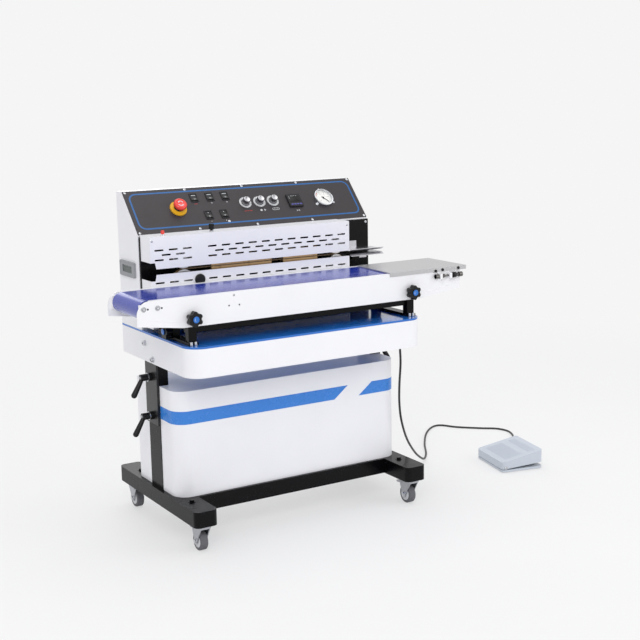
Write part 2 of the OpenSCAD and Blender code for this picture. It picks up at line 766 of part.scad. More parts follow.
// A band wheel with its shaft and timing gear; upper gears have a gap where lower ones have a tooth
module band_wheel(right, upper) {
    side = upper ? 1 : -1;
    shaft_end = right && !upper ? gearbox_y + 12 : gear_y + gear_w + 4;
    color([0.80, 0.80, 0.82]) placed()
        translate([wheel_x[right ? 1 : 0], 0, seal_z + side * wheel_rise]) {
            difference() {
                rod_y(band_wheel_r, wheel_front, wheel_front + wheel_w, 0, 0);
                sheet_y(wheel_front - past, wheel_front + 4) difference() {
                    circle(band_wheel_r - 5);
                    circle(12);
                }
            }
            rod_y(shaft_r, wheel_front, shaft_end, 0, 0);
            sheet_y(gear_y, gear_y + gear_w) rotate(-side * 90) gear_2d(wheel_rise, gear_teeth, upper);
        }
}

// ---------- guards and guides ----------

// One row of ventilation slots
module vent_row(x0, count, z)
    for (i = [0 : count - 1]) slot_2d(x0 + i * vent_pitch, z, vent_length, vent_height);

// A guard's front drawn flat, with one corner cut away at the bags' exit
module guard_front(low, high, mouth_z, up) difference() {
    translate([guard_x, low]) square([guard_length, high - low]);
    translate([guard_x, mouth_z]) polygon([[-past, -up * past], [guard_mouth, -up * past],
        [guard_mouth - 4, up * guard_mouth], [-past, up * guard_mouth]]);
}

module guard_ends(low, high, mouth) {
    for (end = [0, 1]) slab([end == 0 ? guard_x : guard_x + guard_length - guard_t, -guard_depth, mouth[0]],
                            [end == 0 ? guard_x + guard_t : guard_x + guard_length, -frame_t, mouth[1]]);
}

module upper_guard() {
    low = seal_z + guard_slot / 2;
    rows = [61, 47, 33];
    color([0.93, 0.93, 0.95]) placed() {
        sheet_y(-guard_depth, -guard_depth + guard_t) difference() {
            guard_front(low, guard_top, low, 1);
            vent_row(vent_left, 3, seal_z + rows[0]);
            vent_row(vent_left + vent_pitch / 2, 2, seal_z + rows[1]);
            vent_row(vent_left, 3, seal_z + rows[2]);
            for (z = [rows[0], rows[2]]) vent_row(vent_right, 11, seal_z + z);
            vent_row(vent_right + vent_pitch / 2, 10, seal_z + rows[1]);
        }
        guard_ends(low, guard_top, [low + guard_mouth, guard_top]);
        difference() {
            slab([guard_x, -guard_depth, guard_top - guard_t], [guard_x + guard_length, -past, guard_top]);
            rod_z(4 + run_gap, guard_top - guard_t - past, guard_top + past, shelf_knob_x, shelf_knob_y);
        }
        // Capped screw at the left of the shelf
        rod_z(5, guard_top, guard_top + 5, shelf_cap_x, shelf_knob_y);
        rod_z(4, guard_top + 5, guard_top + 15, shelf_cap_x, shelf_knob_y);
    }
}

module lower_guard() {
    high = seal_z - guard_slot / 2;
    color([0.93, 0.93, 0.95]) placed() {
        sheet_y(-guard_depth, -guard_depth + guard_t) difference() {
            guard_front(guard_low, high, high, -1);
            vent_row(vent_left, 3, guard_knob_z);
            vent_row(vent_right, 11, guard_knob_z);
            translate([guard_knob_x, guard_knob_z]) circle(4 + run_gap);
        }
        guard_ends(guard_low, high, [guard_low, high - guard_mouth]);
    }
}

module shelf_knob() {
    color([0.07, 0.07, 0.08]) placed() translate([shelf_knob_x, shelf_knob_y, guard_top]) {
        rod_z(4, -12, 8, 0, 0);
        translate([0, 0, seat_gap]) cylinder(r = 6.5, h = 4, $fn = 6);
        translate([0, 0, 7]) cylinder(r = 7, h = 16);
        for (i = [0 : 11]) rotate(i * 30) translate([6.9, 0, 8]) cylinder(r = 0.8, h = 14, $fn = 8);
        // Nut below the shelf
        translate([0, 0, -guard_t - 5 - seat_gap]) cylinder(r = 7, h = 5, $fn = 6);
    }
}

module guard_knob() {
    color([0.07, 0.07, 0.08]) placed() translate([guard_knob_x, -guard_depth, guard_knob_z]) {
        rod_y(4, -3, guard_t + 7, 0, 0);
        rotate([90, 0, 0]) rotate_extrude() polygon(concat([[0, seat_gap], [16, seat_gap], [16, 3]],
            arc([12, 3], 4, 0, 90, 5), [[0, 7]]));
        rod_y(7, guard_t + seat_gap, guard_t + 6, 0, 0);
    }
}

// Two steel guides that lead the bag's mouth to the bands
module feed_guides() {
    last = head_length + end_gap;
    tip = 9;
    color([0.78, 0.78, 0.80]) placed() {
        for (side = [0, 1]) translate([0, 0, seal_z]) mirror([0, 0, side]) {
            bar_x(guide_x, last) {
                translate([-72, 4]) square([72 - frame_t, 1.5]);
                polygon([[-72, 4], [-72, 5.5], [-72 - tip, 11], [-72 - tip, 9.5]]);
            }
            sheet_y(-frame_t - 1.5, -frame_t)
                translate([guide_x + (side == 0 ? 15 : 73), 4]) square([side == 0 ? 50 : 30, 24]);
        }
    }
}

// ---------- carriage ----------

// A bracket drawn flat, with the slot in which the conveyor's stud moves
module bracket_2d(x) difference() {
    translate([x - bracket_w / 2, table_top_z + foot_bar])
        square([bracket_w, bracket_top - table_top_z - foot_bar]);
    upright_slot(x, knob_z, knob_z + conveyor_travel, stud_d + 2 * stud_fit);
}

module carriage_frame() {
    floor_z = table_top_z + seat_gap;
    color([0.05, 0.05, 0.06]) placed() {
        for (x = knob_x) {
            slab([x - 14, bracket_front - 6, floor_z],
                 [x + 14, bracket_rear + bracket_t, floor_z + foot_bar]);
            for (y = [bracket_front, bracket_rear]) sheet_y(y, y + bracket_t) bracket_2d(x);
            for (y = [bracket_front + bracket_t, bracket_rear - beam_w])
                slab([x - 8, y, floor_z + foot_bar - past], [x + 8, y + beam_w, beam_low + past]);
        }
        for (y = [bracket_front + bracket_t, bracket_rear - beam_w])
            slab([knob_x[0] - 12, y, beam_low], [knob_x[1] + 12, y + beam_w, beam_top]);
        difference() {
            slab([knob_x[0] - 9, lock_y - 13, floor_z + foot_bar - past],
                 [knob_x[0] + 12, lock_y + 13, floor_z + lock_rise + 14]);
            rod_x(4 + run_gap, knob_x[0] - 10, knob_x[0] + 6, lock_y, floor_z + lock_rise);
        }
    }
}

// A star knob drawn with its face towards -Z and its seat at the origin
module star_grip() {
    mirror([0, 0, 1]) {
        cylinder(r = 11, h = 6);
        translate([0, 0, 5]) linear_extrude(17) {
            circle(17);
            for (i = [0 : 5]) rotate(30 + i * 60) translate([15.5, 0]) circle(6.5, $fn = 24);
        }
        translate([0, 0, 22]) cylinder(r = 9, h = 2);
    }
}

module carriage_knob() {
    seat = knob_x[0] - 9 - seat_gap;
    color([0.06, 0.06, 0.07]) placed()
        translate([seat, lock_y, table_top_z + seat_gap + lock_rise]) rotate([0, 90, 0]) {
        star_grip();
        cylinder(r = 4, h = 14);
    }
}

// ---------- conveyor ----------

// A side plate drawn flat: level in the middle, shallower to both ends, round at the left end
module side_2d() polygon(concat(
    [[-conveyor_left, side_end_low], [0, side_low],
     [head_length + end_gap, side_low], [conveyor_right, side_end_low]],
    arc([conveyor_right - 8, surface_z - 8], 8, 0, 90, 4),
    arc([-conveyor_left + corner_r, surface_z - corner_r], corner_r, 90, 180, 12)));

// Bearing blocks for the rollers, inside a side plate
module bearings() for (x = roller_x) translate([x, roller_z]) square([52, 36], center = true);

module front_side_plate() {
    inner = front_y + plate_t;
    color([0.92, 0.92, 0.94]) placed() {
        difference() {
            union() {
                sheet_y(front_y, inner) side_2d();
                sheet_y(inner - past, inner + bearing_t) bearings();
            }
            for (x = roller_x) rod_y(roller_shaft_r + run_gap, inner, inner + bearing_t + past, x, roller_z);
            for (x = knob_x) rod_y(stud_d / 2 + run_gap, front_y - past, inner + past, x, knob_z);
            for (p = [[155, -9.5], [139, -37], [171, -37.5]])
                rod_y(2.5, front_y - past, inner + past, p[0], surface_z + p[1]);
        }
        difference() {
            slab([-conveyor_left + corner_r, front_y, surface_z - plate_t],
                 [conveyor_right - 8, front_y + side_flange, surface_z]);
            slab([-conveyor_left + 36, front_y + 4, surface_z - plate_t - past],
                 [-conveyor_left + 63, front_y + 9, surface_z + past]);
        }
        slab([knob_x[0] + 21, front_y, side_low],
             [knob_x[1] - 21, front_y + side_flange, side_low + plate_t]);
        // Heads of the bearing blocks' bolts
        for (x = roller_x, dx = [-16.5, 23.5]) rod_y(4.5, front_y - 3, front_y + past, x + dx, roller_z + 7);
        // Two lugs that carry the belt's tension screw
        for (x = [roller_x[1] - 20, roller_x[1] + 16]) difference() {
            slab([x, tension_y - 8, tension_z - 8], [x + 8, front_y + past, tension_z + 8]);
            rod_x(tension_r + run_gap, x - past, x + 8 + past, tension_y, tension_z);
        }
    }
}

// Slider bed on three cross ties, with the rear side plate
module conveyor_bed() {
    inner = rear_y - plate_t;
    bed_top = belt_z - belt_t;
    tie_w = 24;
    tie_x = [knob_x[0] + 68, (knob_x[0] + knob_x[1]) / 2 + 11, knob_x[1] - 61];
    color([0.90, 0.90, 0.92]) placed() {
        difference() {
            union() {
                sheet_y(inner, rear_y) side_2d();
                sheet_y(inner - bearing_t, inner + past) bearings();
            }
            for (x = roller_x) rod_y(roller_shaft_r + run_gap, inner - bearing_t - past, inner, x, roller_z);
        }
        slab([-conveyor_left + corner_r, rear_y - side_flange - plate_t, surface_z - plate_t],
             [conveyor_right - 8, rear_y, surface_z]);
        slab([roller_x[0] + roller_r + 8, front_y + belt_margin, bed_top - 2],
             [roller_x[1] - roller_r - 8, rear_y - belt_margin, bed_top]);
        for (x = tie_x)
            slab([x - tie_w / 2, front_y + plate_t, roller_z - 16],
                 [x + tie_w / 2, inner + past, bed_top - past]);
        for (x = knob_x) rod_y(stud_d / 2, bracket_rear - 3, inner + past, x, knob_z);
    }
}

module conveyor_belt() {
    inner = belt_r - belt_t;
    color([0.20, 0.29, 0.66]) placed()
        sheet_y(front_y + belt_margin, rear_y - belt_margin) difference() {
            belt_2d(roller_x, roller_z, belt_r);
            belt_2d(roller_x, roller_z, inner);
        }
}

module roller(i) {
    front = front_y + plate_t + bearing_t + 2;
    rear = rear_y - plate_t - bearing_t - 2;
    color([0.75, 0.76, 0.78]) placed() {
        rod_y(roller_r, front, rear, roller_x[i], roller_z);
        rod_y(roller_shaft_r, front_y + plate_t + seat_gap, rear_y - plate_t - seat_gap,
              roller_x[i], roller_z);
    }
}

module star_knob(i) {
    color([0.06, 0.06, 0.07]) placed()
        translate([knob_x[i], front_y - seat_gap, knob_z]) rotate([-90, 0, 0]) {
        star_grip();
        cylinder(r = stud_d / 2, h = plate_t + bracket_gap + bracket_t + 4);
    }
}

module tension_knob() {
    lug = roller_x[1] + 24;
    color([0.10, 0.10, 0.11]) placed() {
        rod_x(tension_r, roller_x[1] - 30, lug + 38, tension_y, tension_z);
        rod_x(7, roller_x[1] - 34, roller_x[1] - 22, tension_y, tension_z);
        translate([roller_x[1] - 8, tension_y, tension_z]) rotate([0, 90, 0]) cylinder(r = 6, h = 8, $fn = 6);
        for (i = [0 : 5]) rod_x(4.6, lug + 4 + i * 4, lug + 6 + i * 4, tension_y, tension_z);
        rod_x(7.5, lug + 30, lug + 42, tension_y, tension_z);
    }
}

module infeed_plate() {
    right = conveyor_right + 22;
    left = right - infeed_length;
    front = front_y - seat_gap - 1.5;
    rear = rear_y - 9.6;
    top = surface_z + infeed_t;
    color([0.80, 0.79, 0.77]) placed() {
        translate([0, 0, surface_z]) linear_extrude(infeed_t)
            polygon([[left, front], [right, front], [right, rear], [left + 12, rear]]);
        slab([left, front, top - infeed_lip], [right, front + 1.5, top]);
        slab([right - 1.5, front, top - infeed_lip], [right, rear, top]);
    }
}

// ---------- foot switch ----------

// Axes of the foot switch: X from heel to toe, Y across, Z up
module at_pedal() placed() translate([pedal_x, pedal_y, 0]) rotate(pedal_yaw) children();

module pedal_base() {
    ear_t = 6;
    ear_gap = 2;
    ear_y = pedal_width / 2 - pedal_t - ear_gap - ear_t;
    color([0.72, 0.74, 0.78]) at_pedal() {
        translate([0, 0, pedal_base_z[0]]) linear_extrude(pedal_base_z[1] - pedal_base_z[0])
            rounded_plan([pedal_length, pedal_width], pedal_corner);
        for (x = [-1, 1], y = [-1, 1])
            rod_z(9, 0, pedal_base_z[0], x * (pedal_length / 2 - 18), y * (pedal_width / 2 - 18));
        for (side = [0, 1]) mirror([0, side, 0])
            slab([hinge_u - 7, ear_y, pedal_base_z[1] - past], [hinge_u + 7, ear_y + ear_t, hinge_z + 7]);
        // Hinge pin with riveted ends
        rod_y(4, -pedal_width / 2 - 1.5, pedal_width / 2 + 1.5, hinge_u, hinge_z);
        // Switch and the gland of its cord
        slab([-12, -20, pedal_base_z[1] - past], [32, 20, 28]);
        rod_z(4, 27, 38, 10, 0);
        slab([gland_u - 8, pedal_width / 2 - 22, pedal_base_z[1] - past],
             [gland_u + 8, pedal_width / 2 - 10, gland_z + 8]);
        rod_y(gland_r, pedal_width / 2 - 12, gland_v, gland_u, gland_z);
    }
}

// Side view of the tread, drawn in by t
module tread_side(t) {
    half = pedal_length / 2;
    polygon([[-half - past, 12 - (t > 0 ? 20 : 0)], [half + past, 24 - (t > 0 ? 20 : 0)],
             [half + past, pedal_toe - t], [-half - past, pedal_heel - t]]);
}

module pedal_tread() {
    rise = atan2(pedal_toe - pedal_heel, pedal_length + 2 * past);
    rib_w = 3;
    rib_rows = [[-52, 62], [34, 26]];
    rib_pitch = 9;
    rib_count = floor((pedal_width - 40) / rib_pitch);
    color([0.80, 0.82, 0.86]) at_pedal() {
        difference() {
            intersection() {
                linear_extrude(100) rounded_plan([pedal_length, pedal_width], pedal_corner);
                sheet_y(-pedal_width / 2, pedal_width / 2) tread_side(0);
            }
            intersection() {
                translate([0, 0, -past]) linear_extrude(100)
                    rounded_plan([pedal_length - 2 * pedal_t, pedal_width - 2 * pedal_t],
                                 pedal_corner - pedal_t);
                sheet_y(-pedal_width / 2, pedal_width / 2) tread_side(pedal_t);
            }
            rod_y(4 + run_gap, -pedal_width, pedal_width, hinge_u, hinge_z);
            slab([gland_u - 9, pedal_width / 2 - 11, 0], [gland_u + 9, pedal_width / 2 + past, gland_z + 17]);
        }
        // Grip ribs along the tread, in two groups
        translate([-pedal_length / 2 - past, 0, pedal_heel]) rotate([0, -rise, 0])
            for (row = rib_rows, i = [0 : rib_count - 1])
                translate([row[0] + pedal_length / 2, (i - (rib_count - 1) / 2) * rib_pitch, 0])
                    slab([0, -rib_w / 2, -past], [row[1], rib_w / 2, 1]);
    }
}

// Point at t along the curve through four points of the cord's route
function curve(a, b, c, d, t) = 0.5 * (2 * b + (c - a) * t + (2 * a - 5 * b + 4 * c - d) * t * t
    + (3 * b - a - 3 * c + d) * t * t * t);
function clipped(list, i) = list[max(0, min(len(list) - 1, i))];
function unit(v) = v / norm(v);

module pedal_cord() {
    sides = 8;
    steps = 3;
    count = len(cord_route);
    path = concat([for (i = [0 : count - 2], k = [0 : steps - 1])
        curve(clipped(cord_route, i - 1), cord_route[i], cord_route[i + 1], clipped(cord_route, i + 2),
              k / steps)],
        [cord_route[count - 1]]);
    rings = len(path);
    // The last ring lies flat on the gland's face, and the first flat under the table's gland
    function heading(i) = i == 0 ? [0, 0, -1]
        : i == rings - 1 ? [sin(pedal_yaw), -cos(pedal_yaw), 0]
        : unit(path[i + 1] - path[i - 1]);
    function across(i) = let (h = heading(i), side = cross([0, 0, 1], h))
        norm(side) < 0.02 ? [0, 1, 0] : unit(side);
    function ring(i) = let (h = heading(i), a = unit(across(i) - (across(i) * h) * h), b = cross(h, a))
        [for (s = [0 : sides - 1]) path[i] + cord_r * (cos(s * 360 / sides) * a + sin(s * 360 / sides) * b)];
    color([0.05, 0.05, 0.05]) placed() polyhedron(
        points = [for (i = [0 : rings - 1]) each ring(i)],
        faces = concat(
            [[for (s = [sides - 1 : -1 : 0]) s]],
            [for (i = [0 : rings - 2], s = [0 : sides - 1])
                [i * sides + s, i * sides + (s + 1) % sides,
                 (i + 1) * sides + (s + 1) % sides, (i + 1) * sides + s]],
            [[for (s = [0 : sides - 1]) (rings - 1) * sides + s]]),
        convexity = 10);
}

// ---------- nodes ----------

stand_base();
posts();
cabinet();
vacuum_pump();
table_frame();
table_top();
caster_fork(0);  // caster_fork_front_left
caster_fork(1);  // caster_fork_front_right
caster_fork(2);  // caster_fork_rear_left
caster_fork(3);  // caster_fork_rear_right
caster_wheel(0);  // caster_wheel_front_left
caster_wheel(1);  // caster_wheel_front_right
caster_wheel(2);  // caster_wheel_rear_left
caster_wheel(3);  // caster_wheel_rear_right
caster_brake(0);  // caster_brake_left
caster_brake(1);  // caster_brake_right
clamp_lever(false, lever_z[0]);  // clamp_lever_upper_left
clamp_lever(false, lever_z[1]);  // clamp_lever_lower_left
clamp_lever(true, lever_z[0]);  // clamp_lever_upper_right
clamp_lever(true, lever_z[1]);  // clamp_lever_lower_right
head_housing();
control_panel();
panel_fittings();
instruments();
gauge_needle();
stop_button();
rocker(0);  // rocker_1
rocker(1);  // rocker_2
rocker(2);  // rocker_3
rocker(3);  // rocker_4
rocker(4);  // rocker_5
speed_knob(0);  // speed_knob_1
speed_knob(1);  // speed_knob_2
speed_knob(2);  // speed_knob_3
sealing_frame();
sealing_blocks();
sealing_bands();
band_wheel(false, true);  // band_wheel_upper_left
band_wheel(true, true);  // band_wheel_upper_right
band_wheel(false, false);  // band_wheel_lower_left
band_wheel(true, false);  // band_wheel_lower_right
upper_guard();
lower_guard();
shelf_knob();
guard_knob();
feed_guides();
carriage_frame();
carriage_knob();
front_side_plate();
conveyor_bed();
conveyor_belt();
roller(0);  // drive_roller
roller(1);  // idler_roller
star_knob(0);  // star_knob_left
star_knob(1);  // star_knob_right
tension_knob();
infeed_plate();
pedal_base();
pedal_tread();
pedal_cord();
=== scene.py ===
"""Dressed scene of a continuous band sealer: stand, lifting table, sealing head, conveyor and foot switch.

Sizes in the classes are millimetres in the head's own frame: X from the head's left end, Y from its
front wall to the back, Z from the floor. Bench turns them into the frame's metres.
"""
from __future__ import annotations

import json
import logging
import math
from dataclasses import dataclass, field
from enum import Enum
from typing import Iterable, Sequence, Union

import bpy
import numpy as np
from mathutils import Matrix, Vector

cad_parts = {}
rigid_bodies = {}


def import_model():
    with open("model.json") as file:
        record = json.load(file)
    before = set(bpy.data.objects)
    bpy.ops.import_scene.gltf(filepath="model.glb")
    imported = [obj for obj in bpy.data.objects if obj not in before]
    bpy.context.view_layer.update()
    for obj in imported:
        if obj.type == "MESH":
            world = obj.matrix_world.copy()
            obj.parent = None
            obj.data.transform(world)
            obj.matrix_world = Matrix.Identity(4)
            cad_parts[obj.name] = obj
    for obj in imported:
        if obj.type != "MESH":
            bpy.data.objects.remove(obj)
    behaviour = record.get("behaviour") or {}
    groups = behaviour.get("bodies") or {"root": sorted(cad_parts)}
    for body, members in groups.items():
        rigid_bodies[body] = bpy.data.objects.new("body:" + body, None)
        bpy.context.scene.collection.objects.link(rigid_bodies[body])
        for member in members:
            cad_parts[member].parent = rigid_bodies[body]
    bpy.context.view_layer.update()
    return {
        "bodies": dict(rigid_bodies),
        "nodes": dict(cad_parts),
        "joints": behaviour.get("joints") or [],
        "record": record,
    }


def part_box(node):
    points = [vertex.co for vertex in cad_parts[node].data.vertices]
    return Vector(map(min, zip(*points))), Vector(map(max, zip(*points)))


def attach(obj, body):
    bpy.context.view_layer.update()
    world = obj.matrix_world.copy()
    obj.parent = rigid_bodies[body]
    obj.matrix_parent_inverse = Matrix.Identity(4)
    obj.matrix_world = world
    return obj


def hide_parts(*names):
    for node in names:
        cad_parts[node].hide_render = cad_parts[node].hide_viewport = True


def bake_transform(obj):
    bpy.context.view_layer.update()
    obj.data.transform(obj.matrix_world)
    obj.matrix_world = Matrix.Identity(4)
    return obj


log = logging.getLogger("band_sealer")
Number = Union[int, float]


# ---------------------------------------------------------------- surfaces

@dataclass
class Skin:
    """A surface as arrays: points (n, 3), quads (m, 4) and closing faces with any number of corners."""

    points: np.ndarray
    quads: np.ndarray
    caps: list[np.ndarray] = field(default_factory=list)

    def moved(self, matrix: np.ndarray) -> "Skin":
        """Returns a copy with every point p sent to matrix * p, turned over if the matrix mirrors.

        Args:
            matrix: a 4 x 4 array.

        Returns:
            The moved surface.
        """
        points = self.points @ matrix[:3, :3].T + matrix[:3, 3]
        if np.linalg.det(matrix[:3, :3]) < 0:
            return Skin(points, self.quads[:, ::-1], [cap[::-1] for cap in self.caps])
        return Skin(points, self.quads, self.caps)

    def at(self, x: float, y: float, z: float) -> "Skin":
        """Returns a copy moved by x, y and z."""
        return self.moved(shift(x, y, z))


def joined(skins: Iterable[Skin]) -> Skin:
    """Puts several surfaces into one, with their point numbers raised by the points before them.

    Args:
        skins: the surfaces.

    Returns:
        One surface.
    """
    parts = list(skins)
    starts = np.cumsum([0] + [len(part.points) for part in parts[:-1]])
    return Skin(
        np.concatenate([part.points for part in parts]),
        np.concatenate([part.quads + start for part, start in zip(parts, starts)]),
        [cap + start for part, start in zip(parts, starts) for cap in part.caps])


def shift(x: float, y: float, z: float) -> np.ndarray:
    """Returns the 4 x 4 matrix of a move by x, y and z."""
    out = np.eye(4)
    out[:3, 3] = (x, y, z)
    return out


def turn(axis: str, degrees: float) -> np.ndarray:
    """Returns the 4 x 4 matrix of a right-handed turn about the axis X, Y or Z."""
    return np.array(Matrix.Rotation(math.radians(degrees), 4, axis))


def lattice(points: np.ndarray, wrap: bool = False) -> Skin:
    """Makes quads from a grid of points: corner (i, j) joins (i, j + 1), (i + 1, j + 1) and (i + 1, j).

    Args:
        points: an array (rows, columns, 3).
        wrap: whether the last column joins the first again.

    Returns:
        The surface, with no closing faces.
    """
    rows, columns = points.shape[:2]
    index = np.arange(rows * columns).reshape(rows, columns)
    if wrap:
        index = np.concatenate([index, index[:, :1]], axis=1)
    quads = np.stack([index[:-1, :-1], index[:-1, 1:], index[1:, 1:], index[1:, :-1]], axis=-1)
    return Skin(points.reshape(-1, 3), quads.reshape(-1, 4))


def turned(profile: Sequence[tuple[float, float]], sides: int = 32, phase: float = 0.0,
           loop: bool = False) -> Skin:
    """Turns a profile about Z: point (r, z) at angle t goes to (r cos t, r sin t, z).

    Args:
        profile: pairs (r, z) from the foot, out and up to the top. Both ends are closed flat.
        sides: how many steps make the turn.
        phase: angle of the first step in degrees.
        loop: true where the profile ends on its first point, so the surface is a ring with no caps.

    Returns:
        A closed surface.
    """
    line = np.asarray(profile[:-1] if loop else profile, float)
    t = np.arange(sides) * 2 * np.pi / sides + math.radians(phase)
    rings = np.stack([
        line[:, :1] * np.cos(t), line[:, :1] * np.sin(t), np.repeat(line[:, 1:], sides, axis=1)], axis=-1)
    if loop:
        rings = np.concatenate([rings, rings[:1]])
    skin = lattice(rings, wrap=True)
    if loop:
        last = len(line) * sides
        skin.quads = np.where(skin.quads >= last, skin.quads - last, skin.quads)
        skin.points = skin.points[:last]
        return skin
    last = (len(line) - 1) * sides
    skin.caps = [np.arange(sides)[::-1], np.arange(last, last + sides)]
    return skin


def prism(outline: np.ndarray, low: float, high: float) -> Skin:
    """Raises a flat outline, counter-clockwise from above, between two heights.

    Args:
        outline: an array (n, 2).
        low: height of the foot.
        high: height of the top.

    Returns:
        A closed surface.
    """
    count = len(outline)
    rings = np.stack([np.column_stack([outline, np.full(count, z)]) for z in (low, high)])
    skin = lattice(rings, wrap=True)
    skin.caps = [np.arange(count)[::-1], np.arange(count, 2 * count)]
    return skin


def pillow(outline: np.ndarray, inner: np.ndarray, low: float, mid: float, high: float) -> Skin:
    """Raises an outline to mid and draws it in to a smaller one at high, for a chamfered block.

    Args:
        outline: an array (n, 2) for the foot.
        inner: an array (n, 2) for the top.
        low: height of the foot.
        mid: height where the chamfer starts.
        high: height of the top.

    Returns:
        A closed surface.
    """
    count = len(outline)
    rings = np.stack([
        np.column_stack([line, np.full(count, z)])
        for line, z in ((outline, low), (outline, mid), (inner, high))])
    skin = lattice(rings, wrap=True)
    skin.caps = [np.arange(count)[::-1], np.arange(2 * count, 3 * count)]
    return skin


def collar(outer: np.ndarray, inner: np.ndarray, low: float, high: float) -> Skin:
    """Raises the frame between two outlines with equal counts of points between two heights.

    Args:
        outer: an array (n, 2), counter-clockwise.
        inner: an array (n, 2) inside it.
        low: height of the foot.
        high: height of the top.

    Returns:
        A closed ring.
    """
    count = len(outer)
    rings = np.stack([
        np.column_stack([line, np.full(count, z)])
        for line, z in ((inner, low), (outer, low), (outer, high), (inner, high), (inner, low))])
    return lattice(rings, wrap=True)


def rounded(width: float, height: float, radius: float, steps: int = 6) -> np.ndarray:
    """Gives a rectangle about the origin with round corners: each corner is a quarter of a circle.

    Args:
        width: size along X.
        height: size along Y.
        radius: radius of the corners.
        steps: steps in each corner.

    Returns:
        The outline, counter-clockwise, as an array (4 * (steps + 1), 2).
    """
    t = np.linspace(0, np.pi / 2, steps + 1)
    arc = radius * np.column_stack([np.cos(t), np.sin(t)])
    a, b = width / 2 - radius, height / 2 - radius
    return np.concatenate([
        arc + (a, b), np.column_stack([-arc[:, 1], arc[:, 0]]) + (-a, b),
        -arc + (-a, -b), np.column_stack([arc[:, 1], -arc[:, 0]]) + (a, -b)])


def ellipse(rx: float, ry: float, sides: int = 32) -> np.ndarray:
    """Gives the outline (rx cos t, ry sin t) as an array (sides, 2)."""
    t = np.arange(sides) * 2 * np.pi / sides
    return np.column_stack([rx * np.cos(t), ry * np.sin(t)])


def smooth_route(route: np.ndarray, steps: int) -> np.ndarray:
    """Runs a Catmull-Rom curve through the points: each span mixes its four nearest points by cubics.

    Args:
        route: an array (n, 3).
        steps: samples in each span.

    Returns:
        An array ((n - 1) * steps + 1, 3).
    """
    padded = np.concatenate([route[:1], route, route[-1:]])
    a, b, c, d = padded[:-3], padded[1:-2], padded[2:-1], padded[3:]
    t = (np.arange(steps) / steps)[None, :, None]
    a, b, c, d = (points[:, None, :] for points in (a, b, c, d))
    curve = 0.5 * (2 * b + (c - a) * t + (2 * a - 5 * b + 4 * c - d) * t ** 2
                   + (3 * b - a - 3 * c + d) * t ** 3)
    return np.concatenate([curve.reshape(-1, 3), route[-1:]])


def tube(path: np.ndarray, radii: np.ndarray, sides: int, lean: Sequence[float]) -> Skin:
    """Carries a circle along a path: ring i is path[i] + radii[i] * (a cos t + b sin t).

    The vector a is the part of lean that is square to the path's heading, and b is heading x a.

    Args:
        path: an array (n, 3).
        radii: an array (n,).
        sides: steps round the circle.
        lean: a vector that the path never follows.

    Returns:
        A closed surface.
    """
    heading = np.gradient(path, axis=0)
    heading /= np.linalg.norm(heading, axis=1, keepdims=True)
    lean = np.asarray(lean, float)
    a = lean - (heading @ lean)[:, None] * heading
    a /= np.linalg.norm(a, axis=1, keepdims=True)
    b = np.cross(heading, a)
    t = (np.arange(sides) * 2 * np.pi / sides)[None, :, None]
    rings = path[:, None, :] + radii[:, None, None] * (a[:, None] * np.cos(t) + b[:, None] * np.sin(t))
    skin = lattice(rings, wrap=True)
    last = (len(path) - 1) * sides
    skin.caps = [np.arange(sides)[::-1], np.arange(last, last + sides)]
    return skin


def strip(path: np.ndarray, low: np.ndarray, high: np.ndarray, proud: float) -> Skin:
    """Stands a thin band along a plan path, proud of it on its right-hand side.

    Args:
        path: an array (n, 2), with the outside on the right of the way it runs.
        low: heights of the band's lower edge, (n,).
        high: heights of its upper edge, (n,).
        proud: how far the band stands out.

    Returns:
        A closed surface.
    """
    along = np.gradient(path, axis=0)
    along /= np.linalg.norm(along, axis=1, keepdims=True)
    out = path + proud * np.column_stack([along[:, 1], -along[:, 0]])
    rings = np.stack([
        np.column_stack([line, z])
        for line, z in ((path, low), (out, low), (out, high), (path, high))], axis=1)
    skin = lattice(rings, wrap=True)
    last = 4 * (len(path) - 1)
    skin.caps = [np.arange(4)[::-1], np.arange(last, last + 4)]
    return Skin(skin.points, skin.quads, skin.caps)


# ---------------------------------------------------------------- fasteners

def cap_screw(radius: float, height: float, socket: float) -> Skin:
    """Turns a socket-head screw that stands on Z = 0, with a chamfered rim and a hollow hexagon.

    Args:
        radius: radius of the head.
        height: height of the head.
        socket: radius of the hexagon socket.

    Returns:
        A closed surface of 24 steps, whose inner rings are pulled on to a hexagon.
    """
    edge = 0.12 * radius
    skin = turned([(radius, -0.4), (radius, height - edge), (radius - edge, height),
                   (socket, height), (socket, height * 0.45), (0.05, height * 0.45)], 24)
    t = np.arange(24) * 2 * np.pi / 24
    hexagon = math.cos(math.pi / 6) / np.cos((t % (np.pi / 3)) - np.pi / 6)
    for ring in (3, 4):
        rows = slice(ring * 24, ring * 24 + 24)
        skin.points[rows, :2] *= hexagon[:, None]
    return skin


def pan_screw(radius: float, height: float) -> Skin:
    """Turns a domed screw head on Z = 0 with a crossed slot let into its middle.

    Args:
        radius: radius of the head.
        height: height of the dome.

    Returns:
        A closed dome, z = height * sqrt(1 - (r / radius)^2), whose middle ring dips in a cross.
    """
    r = radius * np.array([1.0, 0.97, 0.85, 0.66, 0.5, 0.3, 0.02])
    z = height * np.sqrt(np.clip(1 - (r / (radius * 1.02)) ** 2, 0, None))
    skin = turned([(radius, -0.3)] + list(zip(r, z)), 24)
    t = np.arange(24) * 2 * np.pi / 24
    cross = np.abs(np.sin(2 * t)) < 0.6
    for ring, depth in ((6, 0.55), (7, 0.55)):
        rows = slice(ring * 24, ring * 24 + 24)
        skin.points[rows, 2] -= height * depth * (cross if ring == 6 else 1)
    return skin


